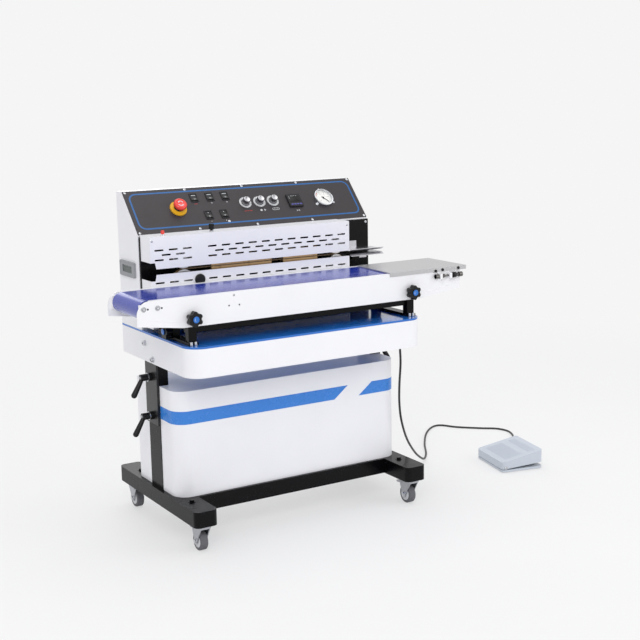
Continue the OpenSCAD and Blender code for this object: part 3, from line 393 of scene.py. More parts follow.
def hex_bolt(radius: float, height: float, washer: float) -> Skin:
    """Builds a hexagon head with a chamfered top on a flat washer, standing on Z = 0.

    Args:
        radius: radius over the hexagon's corners.
        height: height of the head above the washer.
        washer: radius of the washer.

    Returns:
        A washer and a head in one surface.
    """
    plate = turned([(washer, -0.3), (washer, 0.8), (washer - 0.3, 1.1), (0.05, 1.1)], 32)
    head = turned([(radius, 1.0), (radius, 0.8 + height), (radius * 0.86, 1.1 + height),
                   (0.05, 1.1 + height)], 6)
    return joined([plate, head])


# ---------------------------------------------------------------- shader wiring

class Wire:
    """One shader output on which plain arithmetic adds Math nodes."""

    def __init__(self, board: "Board", socket: bpy.types.NodeSocket) -> None:
        """Keeps the board and the socket."""
        self.board = board
        self.socket = socket

    def math(self, operation: str, first: "Wire | Number", second: "Wire | Number" = 0.0) -> "Wire":
        """Adds a Math node.

        Args:
            operation: name of the node's operation.
            first: its first value.
            second: its second value.

        Returns:
            The node's output.
        """
        return self.board.add("ShaderNodeMath", {"operation": operation}, {0: first, 1: second})

    def __add__(self, other: "Wire | Number") -> "Wire":
        """self + other."""
        return self.math("ADD", self, other)

    __radd__ = __add__

    def __sub__(self, other: "Wire | Number") -> "Wire":
        """self - other."""
        return self.math("SUBTRACT", self, other)

    def __rsub__(self, other: "Wire | Number") -> "Wire":
        """other - self."""
        return self.math("SUBTRACT", other, self)

    def __mul__(self, other: "Wire | Number") -> "Wire":
        """self * other."""
        return self.math("MULTIPLY", self, other)

    __rmul__ = __mul__

    def __truediv__(self, other: "Wire | Number") -> "Wire":
        """self / other."""
        return self.math("DIVIDE", self, other)

    def __rtruediv__(self, other: "Wire | Number") -> "Wire":
        """other / self."""
        return self.math("DIVIDE", other, self)

    def __abs__(self) -> "Wire":
        """|self|."""
        return self.math("ABSOLUTE", self)

    def above(self, level: Number) -> "Wire":
        """1 where self is over the level, else 0."""
        return self.math("GREATER_THAN", self, level)

    def step(self, low: Number, high: Number) -> "Wire":
        """0 below low, 1 above high and smooth between them."""
        return self.board.add("ShaderNodeMapRange", {"interpolation_type": "SMOOTHSTEP"},
                              {"Value": self, "From Min": low, "From Max": high})


class Board:
    """The node tree of one material, with a principled shader wired to its output."""

    def __init__(self, name: str) -> None:
        """Makes the material and clears its tree.

        Args:
            name: name of the material.
        """
        self.material = bpy.data.materials.new(name)
        self.material.use_nodes = True
        self.tree = self.material.node_tree
        self.tree.nodes.clear()
        self.output = self.tree.nodes.new("ShaderNodeOutputMaterial")
        self.shader = self.tree.nodes.new("ShaderNodeBsdfPrincipled")
        self.tree.links.new(self.shader.outputs[0], self.output.inputs[0])

    def feed(self, socket: bpy.types.NodeSocket, value: object) -> None:
        """Links a wire to a socket, or sets a plain value on it."""
        if isinstance(value, Wire):
            self.tree.links.new(value.socket, socket)
        elif value is not None:
            socket.default_value = value

    def add(self, kind: str, settings: dict[str, object] | None = None,
            sockets: dict[Union[int, str], object] | None = None, out: Union[int, str] = 0) -> Wire:
        """Adds one node.

        Args:
            kind: the node's type.
            settings: its settings; "stops" are a ramp's pairs of place and colour.
            sockets: values or wires for its inputs.
            out: which output to return.

        Returns:
            The wire of that output.
        """
        node = self.tree.nodes.new(kind)
        for name, value in (settings or {}).items():
            if name == "stops":
                ramp = node.color_ramp.elements
                for element, (place, colour) in zip([ramp[0], ramp[1]], value[:2]):
                    element.position, element.color = place, colour
                for place, colour in value[2:]:
                    ramp.new(place).color = colour
            else:
                setattr(node, name, value)
        for name, value in (sockets or {}).items():
            self.feed(node.inputs[name], value)
        return Wire(self, node.outputs[out])

    def set(self, **values: object) -> "Board":
        """Sets or wires inputs of the principled shader; underscores in a name stand for spaces."""
        for name, value in values.items():
            self.feed(self.shader.inputs[name.replace("_", " ")], value)
        return self

    def place(self, scale: Sequence[float] = (1, 1, 1), turned_by: Sequence[float] = (0, 0, 0)) -> Wire:
        """Returns Object coordinates through a Mapping node."""
        coordinates = self.add("ShaderNodeTexCoord", out="Object")
        return self.add("ShaderNodeMapping", None, {
            "Vector": coordinates, "Scale": tuple(scale),
            "Rotation": tuple(math.radians(angle) for angle in turned_by)})

    def noise(self, scale: float, detail: float = 2.0, rough: float = 0.5,
              vector: Wire | None = None) -> Wire:
        """Returns a noise texture's value on Object coordinates or the given vector."""
        return self.add("ShaderNodeTexNoise", None, {
            "Vector": vector or self.place(), "Scale": scale, "Detail": detail, "Roughness": rough})

    def blend(self, factor: Wire | Number, first: object, second: object) -> Wire:
        """Mixes two colours by the factor."""
        return self.add("ShaderNodeMix", {"data_type": "RGBA"}, {
            0: factor, 6: first, 7: second}, out=2)

    def bump(self, height: Wire, strength: float, distance: float) -> Wire:
        """Returns the normal of a bump of the given distance in metres."""
        return self.add("ShaderNodeBump", None, {
            "Height": height, "Strength": strength, "Distance": distance}, out="Normal")


def srgb(red: int, green: int, blue: int) -> tuple[float, float, float, float]:
    """Turns a display colour of 0 to 255 into the linear values that shaders take."""
    channel = [value / 255 for value in (red, green, blue)]
    return tuple(c / 12.92 if c <= 0.04045 else ((c + 0.055) / 1.055) ** 2.4 for c in channel) + (1.0,)


def tinted(colour: Sequence[float], factor: float) -> tuple[float, float, float, float]:
    """Returns the colour with its channels multiplied by the factor."""
    return tuple(min(1.0, c * factor) for c in colour[:3]) + (1.0,)


# ---------------------------------------------------------------- finishes

@dataclass(frozen=True)
class PowderCoat:
    """Baked powder paint: orange peel about a millimetre across, faint marks, and, where a dark colour is given,
    painted shade: that colour replaces the paint below a height.
    """

    name: str
    colour: tuple[float, ...]
    rough: float = 0.3
    peel: float = 0.00004
    coat: float = 0.0
    shine: float = 0.5
    below: tuple[float, ...] = ()
    border: float = 0.4995

    def make(self) -> bpy.types.Material:
        """Returns the material."""
        board = Board(self.name)
        peel = board.noise(620.0, 1.5, 0.5)
        cloud = board.noise(5.0, 3.0, 0.6)
        dust = board.noise(2400.0, 1.0, 0.4)
        smear = board.noise(26.0, 5.0, 0.65).step(0.48, 0.72)
        wear = cloud.step(0.3, 0.75) * 0.6 + dust.step(0.62, 0.7) * 0.2
        shade = board.blend(wear, self.colour, tinted(self.colour, 0.955))
        # Painted shade: below the border height the paint gives way to the dark colour, which stands for the
        # shade under the table.
        if self.below:
            spot = board.add("ShaderNodeTexCoord", None, {}, out="Object")
            height = board.add("ShaderNodeSeparateXYZ", None, {0: spot}, out="Z")
            shade = board.blend(height.above(self.border), self.below, shade)
        board.set(
            Base_Color=shade, Specular_IOR_Level=self.shine,
            Roughness=self.rough - 0.03 + smear * 0.07 + dust * 0.03,
            Normal=board.bump(peel, 0.6, self.peel), Coat_Weight=self.coat, Coat_Roughness=0.08)
        return board.material


@dataclass(frozen=True)
class Brushed:
    """Metal with a drawn grain along one axis: long streaks in roughness, shade and height."""

    name: str
    colour: tuple[float, ...]
    rough: float = 0.3
    along: str = "X"
    grain: float = 0.00002
    metallic: float = 1.0

    def make(self) -> bpy.types.Material:
        """Returns the material."""
        board = Board(self.name)
        scale = {"X": (6, 900, 900), "Y": (900, 6, 900), "Z": (900, 900, 6)}[self.along]
        streak = board.noise(1.0, 4.0, 0.7, board.place(scale))
        fine = board.noise(1.0, 2.0, 0.6, board.place(tuple(3 * s for s in scale)))
        cloud = board.noise(9.0, 3.0, 0.6)
        board.set(
            Base_Color=board.blend(streak * 0.7 + cloud * 0.3, tinted(self.colour, 0.86),
                                   tinted(self.colour, 1.08)),
            Metallic=self.metallic, Roughness=self.rough + (streak - 0.5) * 0.22 + (cloud - 0.5) * 0.08,
            Normal=board.bump(streak + fine * 0.5, 0.5, self.grain))
        return board.material


@dataclass(frozen=True)
class Moulded:
    """Injection-moulded plastic: spark-eroded grain finer than a millimetre and a slight sheen."""

    name: str
    colour: tuple[float, ...]
    rough: float = 0.45
    grain: float = 0.00005
    coat: float = 0.0

    def make(self) -> bpy.types.Material:
        """Returns the material."""
        board = Board(self.name)
        grain = board.noise(1500.0, 2.0, 0.6)
        cloud = board.noise(40.0, 3.0, 0.6)
        board.set(
            Base_Color=board.blend(cloud, tinted(self.colour, 0.93), tinted(self.colour, 1.06)),
            Roughness=self.rough + (grain - 0.5) * 0.16 + (cloud - 0.5) * 0.1, Specular_IOR_Level=0.28,
            Normal=board.bump(grain, 0.5, self.grain), Coat_Weight=self.coat, Coat_Roughness=0.12)
        return board.material


@dataclass(frozen=True)
class Rubber:
    """Matt rubber or cable jacket with pale bloom and dust in patches."""

    name: str
    colour: tuple[float, ...]
    rough: float = 0.62
    bloom: float = 0.35

    def make(self) -> bpy.types.Material:
        """Returns the material."""
        board = Board(self.name)
        patch = board.noise(60.0, 5.0, 0.7).step(0.45, 0.75)
        fine = board.noise(900.0, 2.0, 0.6)
        board.set(
            Base_Color=board.blend(patch * self.bloom + fine * 0.1, self.colour,
                                   tuple(c * 0.6 + 0.06 for c in self.colour[:3]) + (1.0,)),
            Roughness=self.rough + patch * 0.12, Normal=board.bump(fine, 0.4, 0.00006))
        return board.material


@dataclass(frozen=True)
class Metal:
    """Plated or cast metal: fine mottling, with stains that dull it in patches."""

    name: str
    colour: tuple[float, ...]
    rough: float = 0.3
    stain: tuple[float, ...] = (0.2, 0.19, 0.18, 1.0)
    stained: float = 0.25
    pit: float = 0.00003
    pit_scale: float = 700.0

    def make(self) -> bpy.types.Material:
        """Returns the material."""
        board = Board(self.name)
        pits = board.noise(self.pit_scale, 3.0, 0.6)
        patch = board.noise(45.0, 5.0, 0.7).step(0.5, 0.8)
        board.set(
            Base_Color=board.blend(patch * self.stained + pits * 0.12, self.colour, self.stain),
            Metallic=1.0 - patch * self.stained * 0.5,
            Roughness=self.rough + patch * 0.18 + (pits - 0.5) * 0.14,
            Normal=board.bump(pits, 0.5, self.pit))
        return board.material


@dataclass(frozen=True)
class Woven:
    """Coated cloth or belting: threads crossing at a pitch, raised where they cross."""

    name: str
    colour: tuple[float, ...]
    dark: tuple[float, ...]
    pitch: float = 0.0011
    rough: float = 0.25
    height: float = 0.00004
    coat: float = 0.3
    show: float = 0.3

    def make(self) -> bpy.types.Material:
        """Returns the material."""
        board = Board(self.name)
        place = board.place()
        waves = [board.add("ShaderNodeTexWave", {"bands_direction": axis, "wave_profile": "SIN"}, {
            "Vector": place, "Scale": 0.314 / self.pitch}, out="Fac") for axis in ("X", "Y")]
        weave = waves[0] * waves[1]
        cloud = board.noise(7.0, 4.0, 0.6)
        scuff = board.noise(1.0, 5.0, 0.7, board.place((8, 160, 160))).step(0.52, 0.7)
        board.set(
            Base_Color=board.blend(weave * self.show + cloud * 0.25, self.colour, self.dark),
            Roughness=self.rough + scuff * 0.12 + cloud * 0.05,
            Normal=board.bump(weave, 0.5, self.height), Coat_Weight=self.coat, Coat_Roughness=0.15)
        return board.material


@dataclass(frozen=True)
class Lamp:
    """A small window, key or mark whose colour also glows faintly and unevenly: a painted glow, with no lamp
    behind it.
    """

    name: str
    colour: tuple[float, ...]
    glow: float

    def make(self) -> bpy.types.Material:
        """Returns the material."""
        board = Board(self.name)
        uneven = board.noise(260.0, 2.0, 0.5)
        shade = board.blend(uneven, tinted(self.colour, 0.85), self.colour)
        board.set(Base_Color=shade, Emission_Color=shade, Emission_Strength=self.glow, Roughness=0.25)
        return board.material


@dataclass(frozen=True)
class Glass:
    """A clear instrument lens with faint surface waviness."""

    name: str
    colour: tuple[float, ...] = (1.0, 1.0, 1.0, 1.0)

    def make(self) -> bpy.types.Material:
        """Returns the material: a clear sheet, with a gloss that follows Fresnel on its front faces only."""
        board = Board(self.name)
        wave = board.noise(30.0, 2.0, 0.5)
        clear = board.add("ShaderNodeBsdfTransparent", None, {"Color": self.colour}, out=0)
        gloss = board.add("ShaderNodeBsdfGlossy", None, {"Roughness": 0.03}, out=0)
        fresnel = board.add("ShaderNodeFresnel", None, {
            "IOR": 1.45, "Normal": board.bump(wave, 0.2, 0.0001)})
        behind = board.add("ShaderNodeNewGeometry", None, {}, out="Backfacing")
        mix = board.add("ShaderNodeMixShader", None, {0: fresnel * (1 - behind) * 0.5, 1: clear, 2: gloss})
        board.tree.nodes.remove(board.shader)
        board.tree.links.new(mix.socket, board.output.inputs[0])
        return board.material


class Finish(Enum):
    """Every finish of the machine."""

    BLACK_PAINT = PowderCoat("gloss_black_coat", srgb(8, 8, 10), 0.26, 0.00005, 0.0, 0.14)
    WHITE_PAINT = PowderCoat("white_powder_coat", srgb(240, 240, 244), 0.34)
    PLATE_WHITE = PowderCoat("conveyor_side_coat", srgb(240, 240, 243), 0.3)
    # Painted shade: the table frame's parts below 0.4995 m are near-black, standing for the shade in the gap
    # under the table.
    TABLE_PAINT = PowderCoat("table_coat", srgb(240, 240, 244), 0.34, below=srgb(16, 16, 18))
    BLUE_PAINT = PowderCoat("table_gloss_blue", srgb(34, 108, 196), 0.14, 0.00003, 0.3)
    STRIPE = PowderCoat("cabinet_stripe_film", srgb(52, 128, 214), 0.28, 0.00002)
    PANEL = PowderCoat("panel_charcoal", srgb(52, 48, 51), 0.45, 0.00003, 0.0, 0.35)
    OUTLINE = PowderCoat("panel_blue_line", srgb(44, 98, 158), 0.35, 0.00001, 0.0, 0.3)
    PEDAL = PowderCoat("foot_switch_grey", srgb(196, 203, 213), 0.38, 0.00006)
    STEEL_PLATE = Brushed("brushed_stainless_plate", srgb(190, 189, 191), 0.33, "X")
    GUIDE_STEEL = Brushed("guide_steel", srgb(196, 196, 200), 0.3, "X")
    ROLLER = Brushed("roller_steel", srgb(200, 202, 206), 0.28, "Y")
    ZINC = Metal("zinc_plating", srgb(176, 178, 184), 0.32)
    CHROME = Metal("bright_screws", srgb(206, 208, 212), 0.2, stained=0.12)
    KNOB_ALLOY = Brushed("turned_alloy", srgb(128, 128, 132), 0.25, "Z")
    WHEEL_ALLOY = Metal("band_wheel_alloy", srgb(206, 206, 208), 0.3)
    PUMP = Metal("cast_pump_alloy", srgb(150, 152, 156), 0.5, pit=0.0003, pit_scale=260.0)
    BRASS = Metal("heater_brass", srgb(182, 152, 112), 0.35, srgb(104, 78, 56), 0.6)
    TENSION = Metal("tension_screw_steel", srgb(112, 110, 108), 0.28, srgb(70, 66, 60), 0.35)
    BAND = Woven("sealing_band_cloth", srgb(146, 118, 84), srgb(100, 78, 54), 0.0009, 0.4, 0.00005, 0.0, 0.8)
    BELT = Woven("blue_belting", srgb(34, 56, 168), srgb(26, 44, 138), 0.0016, 0.18, 0.00002, 0.3, 0.3)
    TYRE = Rubber("tyre_rubber", srgb(30, 30, 33), 0.55)
    SOLE = Rubber("rubber_feet", srgb(34, 34, 36), 0.7)
    JACKET = Rubber("cord_jacket", srgb(28, 28, 30), 0.48, 0.2)
    BLACK_PLASTIC = Moulded("black_knob_plastic", srgb(17, 17, 19), 0.32)
    SWITCH_PLASTIC = Moulded("switch_black", srgb(20, 20, 22), 0.28, 0.00002)
    FRAME_PLASTIC = Moulded("switch_frame_black", srgb(34, 34, 37), 0.38)
    CASE = Moulded("instrument_case", srgb(64, 64, 68), 0.4)
    COUNTER_CASE = Moulded("counter_case_grey", srgb(150, 152, 156), 0.42)
    # The counter's window glows faintly: painted glow on a display that gives no light of its own.
    LCD = Lamp("counter_window", srgb(96, 104, 102), 0.05)
    STOP_RED = Moulded("stop_red", srgb(196, 16, 12), 0.3, 0.00002)
    RING_YELLOW = Moulded("stop_ring_yellow", srgb(226, 172, 30), 0.4)
    BLUE_CAP = Moulded("knob_cap_blue", srgb(34, 110, 196), 0.3, 0.00002, 0.3)
    DIAL_WHITE = Moulded("dial_white", srgb(236, 236, 234), 0.5, 0.00001)
    DIAL_GREY = Moulded("speed_dial_grey", srgb(198, 199, 201), 0.42, 0.00001)
    INK_BLACK = Moulded("dial_ink_black", srgb(20, 20, 22), 0.5, 0.00001)
    INK_RED = Moulded("dial_ink_red", srgb(206, 40, 34), 0.5, 0.00001)
    INK_PALE = Moulded("panel_ink_pale", srgb(206, 208, 212), 0.5, 0.00001)
    # The controller's keys glow faintly blue: painted glow on keys that are not lamps.
    KEY_BLUE = Lamp("controller_keys", srgb(74, 72, 150), 0.1)
    # The pale bar on the first three rockers is a painted highlight along their upper faces, and it glows
    # faintly.
    LIGHT_BAR = Lamp("rocker_painted_highlight", srgb(172, 178, 182), 0.05)
    LENS = Glass("gauge_lens")

    def material(self) -> bpy.types.Material:
        """Returns the finish's material, made once."""
        return bpy.data.materials.get(self.value.name) or self.value.make()


# ---------------------------------------------------------------- bench

class Bench:
    """Turns millimetres of the head's frame into metres, and sets finished pieces in the scene."""

    panel_slope: float = 47.2506
    panel_low: float = 860.0
    pedal_yaw: float = -12.0
    pedal_spot: tuple[float, float] = (1258.0, -150.0)

    def __init__(self) -> None:
        """Reads the head's corner from the frame."""
        low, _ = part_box("head_housing")
        self.head = shift(low[0], low[1], 0) @ np.diag([0.001, 0.001, 0.001, 1.0])
        self.panel = self.head @ shift(0, 0, self.panel_low) @ turn("X", self.panel_slope)
        self.pedal = self.head @ shift(*self.pedal_spot, 0) @ turn("Z", self.pedal_yaw)
        self.made = 0

    def metres(self, points: np.ndarray) -> np.ndarray:
        """Returns points of the head's frame in metres."""
        return np.asarray(points, float) @ self.head[:3, :3].T + self.head[:3, 3]

    def put(self, name: str, skin: Skin, finish: Finish, body: str | None, slot: str,
            matrix: np.ndarray | None = None, crease: float = 35.0, bevel: float = 0.0) -> bpy.types.Object:
        """Makes one piece of the object.

        Args:
            name: name of the piece.
            skin: its surface, in the millimetres of the matrix.
            finish: its finish.
            body: the body that carries it, or None for a piece that rides on no body.
            slot: the record's material slot that it belongs to; not used.
            matrix: from the skin's millimetres to metres; the head's own by default.
            crease: angle above which an edge stays sharp, in degrees.
            bevel: width of the bevel on its edges in millimetres, or 0 for none.

        Returns:
            The object.
        """
        placed = skin.moved(self.head if matrix is None else matrix)
        mesh = bpy.data.meshes.new(name)
        sizes = np.concatenate([np.full(len(placed.quads), 4), [len(cap) for cap in placed.caps]]).astype(int)
        corners = np.concatenate([placed.quads.ravel()] + list(placed.caps)).astype(np.int32)
        mesh.vertices.add(len(placed.points))
        mesh.vertices.foreach_set("co", placed.points.astype(np.float32).ravel())
        mesh.loops.add(len(corners))
        mesh.loops.foreach_set("vertex_index", corners)
        mesh.polygons.add(len(sizes))
        mesh.polygons.foreach_set("loop_start", np.concatenate([[0], np.cumsum(sizes)[:-1]]).astype(np.int32))
        mesh.polygons.foreach_set("use_smooth", np.ones(len(sizes), bool))
        mesh.update(calc_edges=True)
        mesh.validate()
        mesh.set_sharp_from_angle(angle=math.radians(crease))
        piece = bpy.data.objects.new(name, mesh)
        bpy.context.scene.collection.objects.link(piece)
        mesh.materials.append(finish.material())
        if bevel:
            edge = piece.modifiers.new("edge", "BEVEL")
            edge.width, edge.segments, edge.limit_method = bevel * 0.001, 2, "ANGLE"
            edge.harden_normals = False
        if body:
            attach(piece, body)
        self.made += 1
        log.info("%s on %s: %d faces", name, body, len(sizes))
        return piece


# ---------------------------------------------------------------- studio

@dataclass
class Studio:
    """Camera, lamps, pale floor and world."""

    azimuth: float = -31.73
    elevation: float = 10.88
    roll: float = -0.91
    target: tuple[float, float, float] = (-0.10467, -0.1629, 0.5866)
    distance: float = 3.6425
    lens: float = 69.3
    shift: tuple[float, float] = (-0.0142, 0.0034)
    backdrop: tuple[float, ...] = srgb(245, 245, 245)
    world_level: float = 0.68

    def build(self) -> None:
        """Makes the whole studio."""
        self.camera()
        self.world()
        self.floor()
        for name, spot, size, power in (
                ("key", (-2.6, -3.4, 3.2), 2.6, 66.0), ("fill", (3.0, -2.8, 1.9), 2.6, 34.0),
                ("top", (0.0, 0.2, 4.2), 3.0, 44.0), ("back", (0.6, 3.6, 2.4), 2.4, 20.0)):
            self.softbox(name, spot, size, power)

    def camera(self) -> None:
        """Sets the camera on a sphere round the target, rolled about its own axis."""
        a, e, roll = (math.radians(v) for v in (self.azimuth, self.elevation, self.roll))
        back = Vector((math.sin(a) * math.cos(e), -math.cos(a) * math.cos(e), math.sin(e)))
        right = Vector((math.cos(a), math.sin(a), 0))
        up = back.cross(right)
        turned_right = math.cos(roll) * right + math.sin(roll) * up
        turned_up = math.cos(roll) * up - math.sin(roll) * right
        spot = Vector(self.target) + back * self.distance
        data = bpy.data.cameras.new("camera")
        data.lens, data.sensor_width = self.lens, 36.0
        data.shift_x, data.shift_y = self.shift
        data.clip_start, data.clip_end = 0.05, 200.0
        camera = bpy.data.objects.new("camera", data)
        camera.matrix_world = Matrix((
            (turned_right.x, turned_up.x, back.x, spot.x), (turned_right.y, turned_up.y, back.y, spot.y),
            (turned_right.z, turned_up.z, back.z, spot.z), (0, 0, 0, 1)))
        bpy.context.scene.collection.objects.link(camera)
        bpy.context.scene.camera = camera
        bpy.context.scene.view_settings.view_transform = "Standard"

    def softbox(self, name: str, spot: tuple[float, float, float], size: float, power: float) -> None:
        """Adds one square area lamp that faces the machine.

        Args:
            name: name of the lamp.
            spot: its place in metres.
            size: its side in metres.
            power: its power in watts.
        """
        data = bpy.data.lights.new(name, "AREA")
        data.shape, data.size, data.energy = "SQUARE", size, power
        lamp = bpy.data.objects.new(name, data)
        aim = (Vector((0.0, -0.1, 0.55)) - Vector(spot)).to_track_quat("-Z", "Y")
        lamp.matrix_world = Matrix.Translation(spot) @ aim.to_matrix().to_4x4()
        bpy.context.scene.collection.objects.link(lamp)

    def world(self) -> None:
        """Lights evenly, and shows the backdrop's colour to the camera, to gloss and through glass."""
        world = bpy.data.worlds.new("studio_world")
        bpy.context.scene.world = world
        world.use_nodes = True
        tree = world.node_tree
        tree.nodes.clear()
        path = tree.nodes.new("ShaderNodeLightPath")
        seen = tree.nodes.new("ShaderNodeMath")
        seen.operation = "MAXIMUM"
        tree.links.new(path.outputs["Is Camera Ray"], seen.inputs[0])
        both = tree.nodes.new("ShaderNodeMath")
        both.operation = "MAXIMUM"
        tree.links.new(path.outputs["Is Glossy Ray"], both.inputs[0])
        tree.links.new(path.outputs["Is Transmission Ray"], both.inputs[1])
        tree.links.new(both.outputs[0], seen.inputs[1])
        plain = tree.nodes.new("ShaderNodeBackground")
        plain.inputs["Color"].default_value = (0.985, 0.988, 1.0, 1.0)
        plain.inputs["Strength"].default_value = self.world_level
        shown = tree.nodes.new("ShaderNodeBackground")
        shown.inputs["Color"].default_value = self.backdrop
        shown.inputs["Strength"].default_value = 1.0
        mix = tree.nodes.new("ShaderNodeMixShader")
        output = tree.nodes.new("ShaderNodeOutputWorld")
        tree.links.new(seen.outputs[0], mix.inputs[0])
        tree.links.new(plain.outputs[0], mix.inputs[1])
        tree.links.new(shown.outputs[0], mix.inputs[2])
        tree.links.new(mix.outputs[0], output.inputs[0])

    def floor(self) -> None:
        """Lays a round floor whose own shade near the machine fades into the backdrop's colour."""
        rings = np.linspace(0.02, 1, 24)[:, None] ** 2 * 60.0
        t = np.arange(96)[None, :] * 2 * np.pi / 96
        points = np.stack([rings * np.cos(t), rings * np.sin(t), np.zeros_like(rings * t)], axis=-1)
        skin = lattice(points, wrap=True)
        skin.caps = [np.arange(96)]
        mesh = bpy.data.meshes.new("floor")
        mesh.from_pydata(skin.points.tolist(), [], skin.quads[:, ::-1].tolist() + [skin.caps[0].tolist()])
        floor = bpy.data.objects.new("floor", mesh)
        bpy.context.scene.collection.objects.link(floor)
        board = Board("studio_floor")
        place = board.add("ShaderNodeTexCoord", out="Object")
        reach = board.add("ShaderNodeVectorMath", {"operation": "LENGTH"}, {0: place}, out="Value")
        near = 1 - reach.step(1.1, 3.2)
        speck = board.noise(3.0, 3.0, 0.6)
        matt = board.add("ShaderNodeBsdfDiffuse", None, {
            "Color": board.blend(speck, srgb(236, 236, 236), srgb(240, 240, 240))})
        glow = board.add("ShaderNodeEmission", None, {"Color": self.backdrop, "Strength": 1.0})
        shown = board.add("ShaderNodeMixShader", None, {0: near * 0.45, 1: glow, 2: matt})
        path_camera = board.add("ShaderNodeLightPath", out="Is Camera Ray")
        path_gloss = board.add("ShaderNodeLightPath", out="Is Glossy Ray")
        path_clear = board.add("ShaderNodeLightPath", out="Is Transmission Ray")
        seen = path_camera.math("MAXIMUM", path_camera, path_gloss.math("MAXIMUM", path_gloss, path_clear))
        mix = board.add("ShaderNodeMixShader", None, {0: seen, 1: matt, 2: shown})
        board.tree.nodes.remove(board.shader)
        board.tree.links.new(mix.socket, board.output.inputs[0])
        mesh.materials.append(board.material)


# ---------------------------------------------------------------- foot switch lead

@dataclass
class SwitchLead:
    """The foot switch's cord, from the gland under the table to the gland in the switch's side."""

    diameter: float = 7.0
    route: tuple[tuple[float, float, float], ...] = (
        (762, -206, 559), (764, -206, 500), (768, -206, 430), (762, -208, 360), (760, -210, 300),
        (776, -198, 238), (836, -143, 155), (919, -72, 78), (1000, 0, 25), (1050, 52, 5),
        (1090, 100, 4), (1150, 190, 4), (1230, 290, 4), (1300, 350, 4), (1345, 355, 4),
        (1380, 300, 4), (1444, 236, 4), (1490, 195, 4), (1500, 140, 4), (1460, 70, 4),
        (1390, 30, 5), (1345, 0, 12))
    entry: tuple[float, float, float] = (45.0, 95.5, 17.0)
    relief: float = 32.0

    def build(self, bench: Bench) -> None:
        """Makes the cord and the two tapered reliefs at its ends.

        Args:
            bench: where the pieces go.
        """
        entry = bench.pedal[:3, :3] @ np.array(self.entry) + bench.pedal[:3, 3]
        ends = np.concatenate([bench.metres(np.array(self.route)), entry[None]])
        path = smooth_route(ends, 12)
        radius = self.diameter / 2000
        skin = tube(path, np.full(len(path), radius), 16, (0.5, 0.2, 0.84))
        cord = bench.put("switch_lead", skin, Finish.JACKET, None, "cord_rubber", np.eye(4), 60)
        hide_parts("pedal_cord")
        top, floor = (bench.metres(np.array(point)) for point in ((762, -206, 540), (762, -206, 330)))
        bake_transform(cord)
        run = np.concatenate([[0], np.cumsum(np.linalg.norm(np.diff(path, axis=0), axis=1))])
        self.taper(bench, "table_relief", path, run, 0.0, "machine")
        self.taper(bench, "switch_relief", path[::-1], run, 0.0, "stand")

    def taper(self, bench: Bench, name: str, path: np.ndarray, run: np.ndarray, start: float,
              body: str) -> None:
        """Makes a ribbed relief round the cord's end: its radius falls evenly and dips at each slit.

        Args:
            bench: where the piece goes.
            name: name of the piece.
            path: points of the cord from this end.
            run: distances along it.
            start: where the relief starts.
            body: the body that carries it.
        """
        if body == "stand":
            run = run[-1] - run[::-1]
        s = np.linspace(0, self.relief / 1000, 66)
        points = np.column_stack([np.interp(s + start, run, path[:, axis]) for axis in range(3)])
        t = s / s[-1]
        ribs = np.where(np.sin(t * 2 * np.pi * 7) > 0.55, 0.0007, 0.0) * (t > 0.12) * (t < 0.93)
        radii = 0.0066 - 0.0024 * t - ribs
        bench.put(name, tube(points, radii, 24, (0.5, 0.2, 0.84)), Finish.SOLE, body, "cord_rubber",
                  np.eye(4), 50)


# ---------------------------------------------------------------- control panel

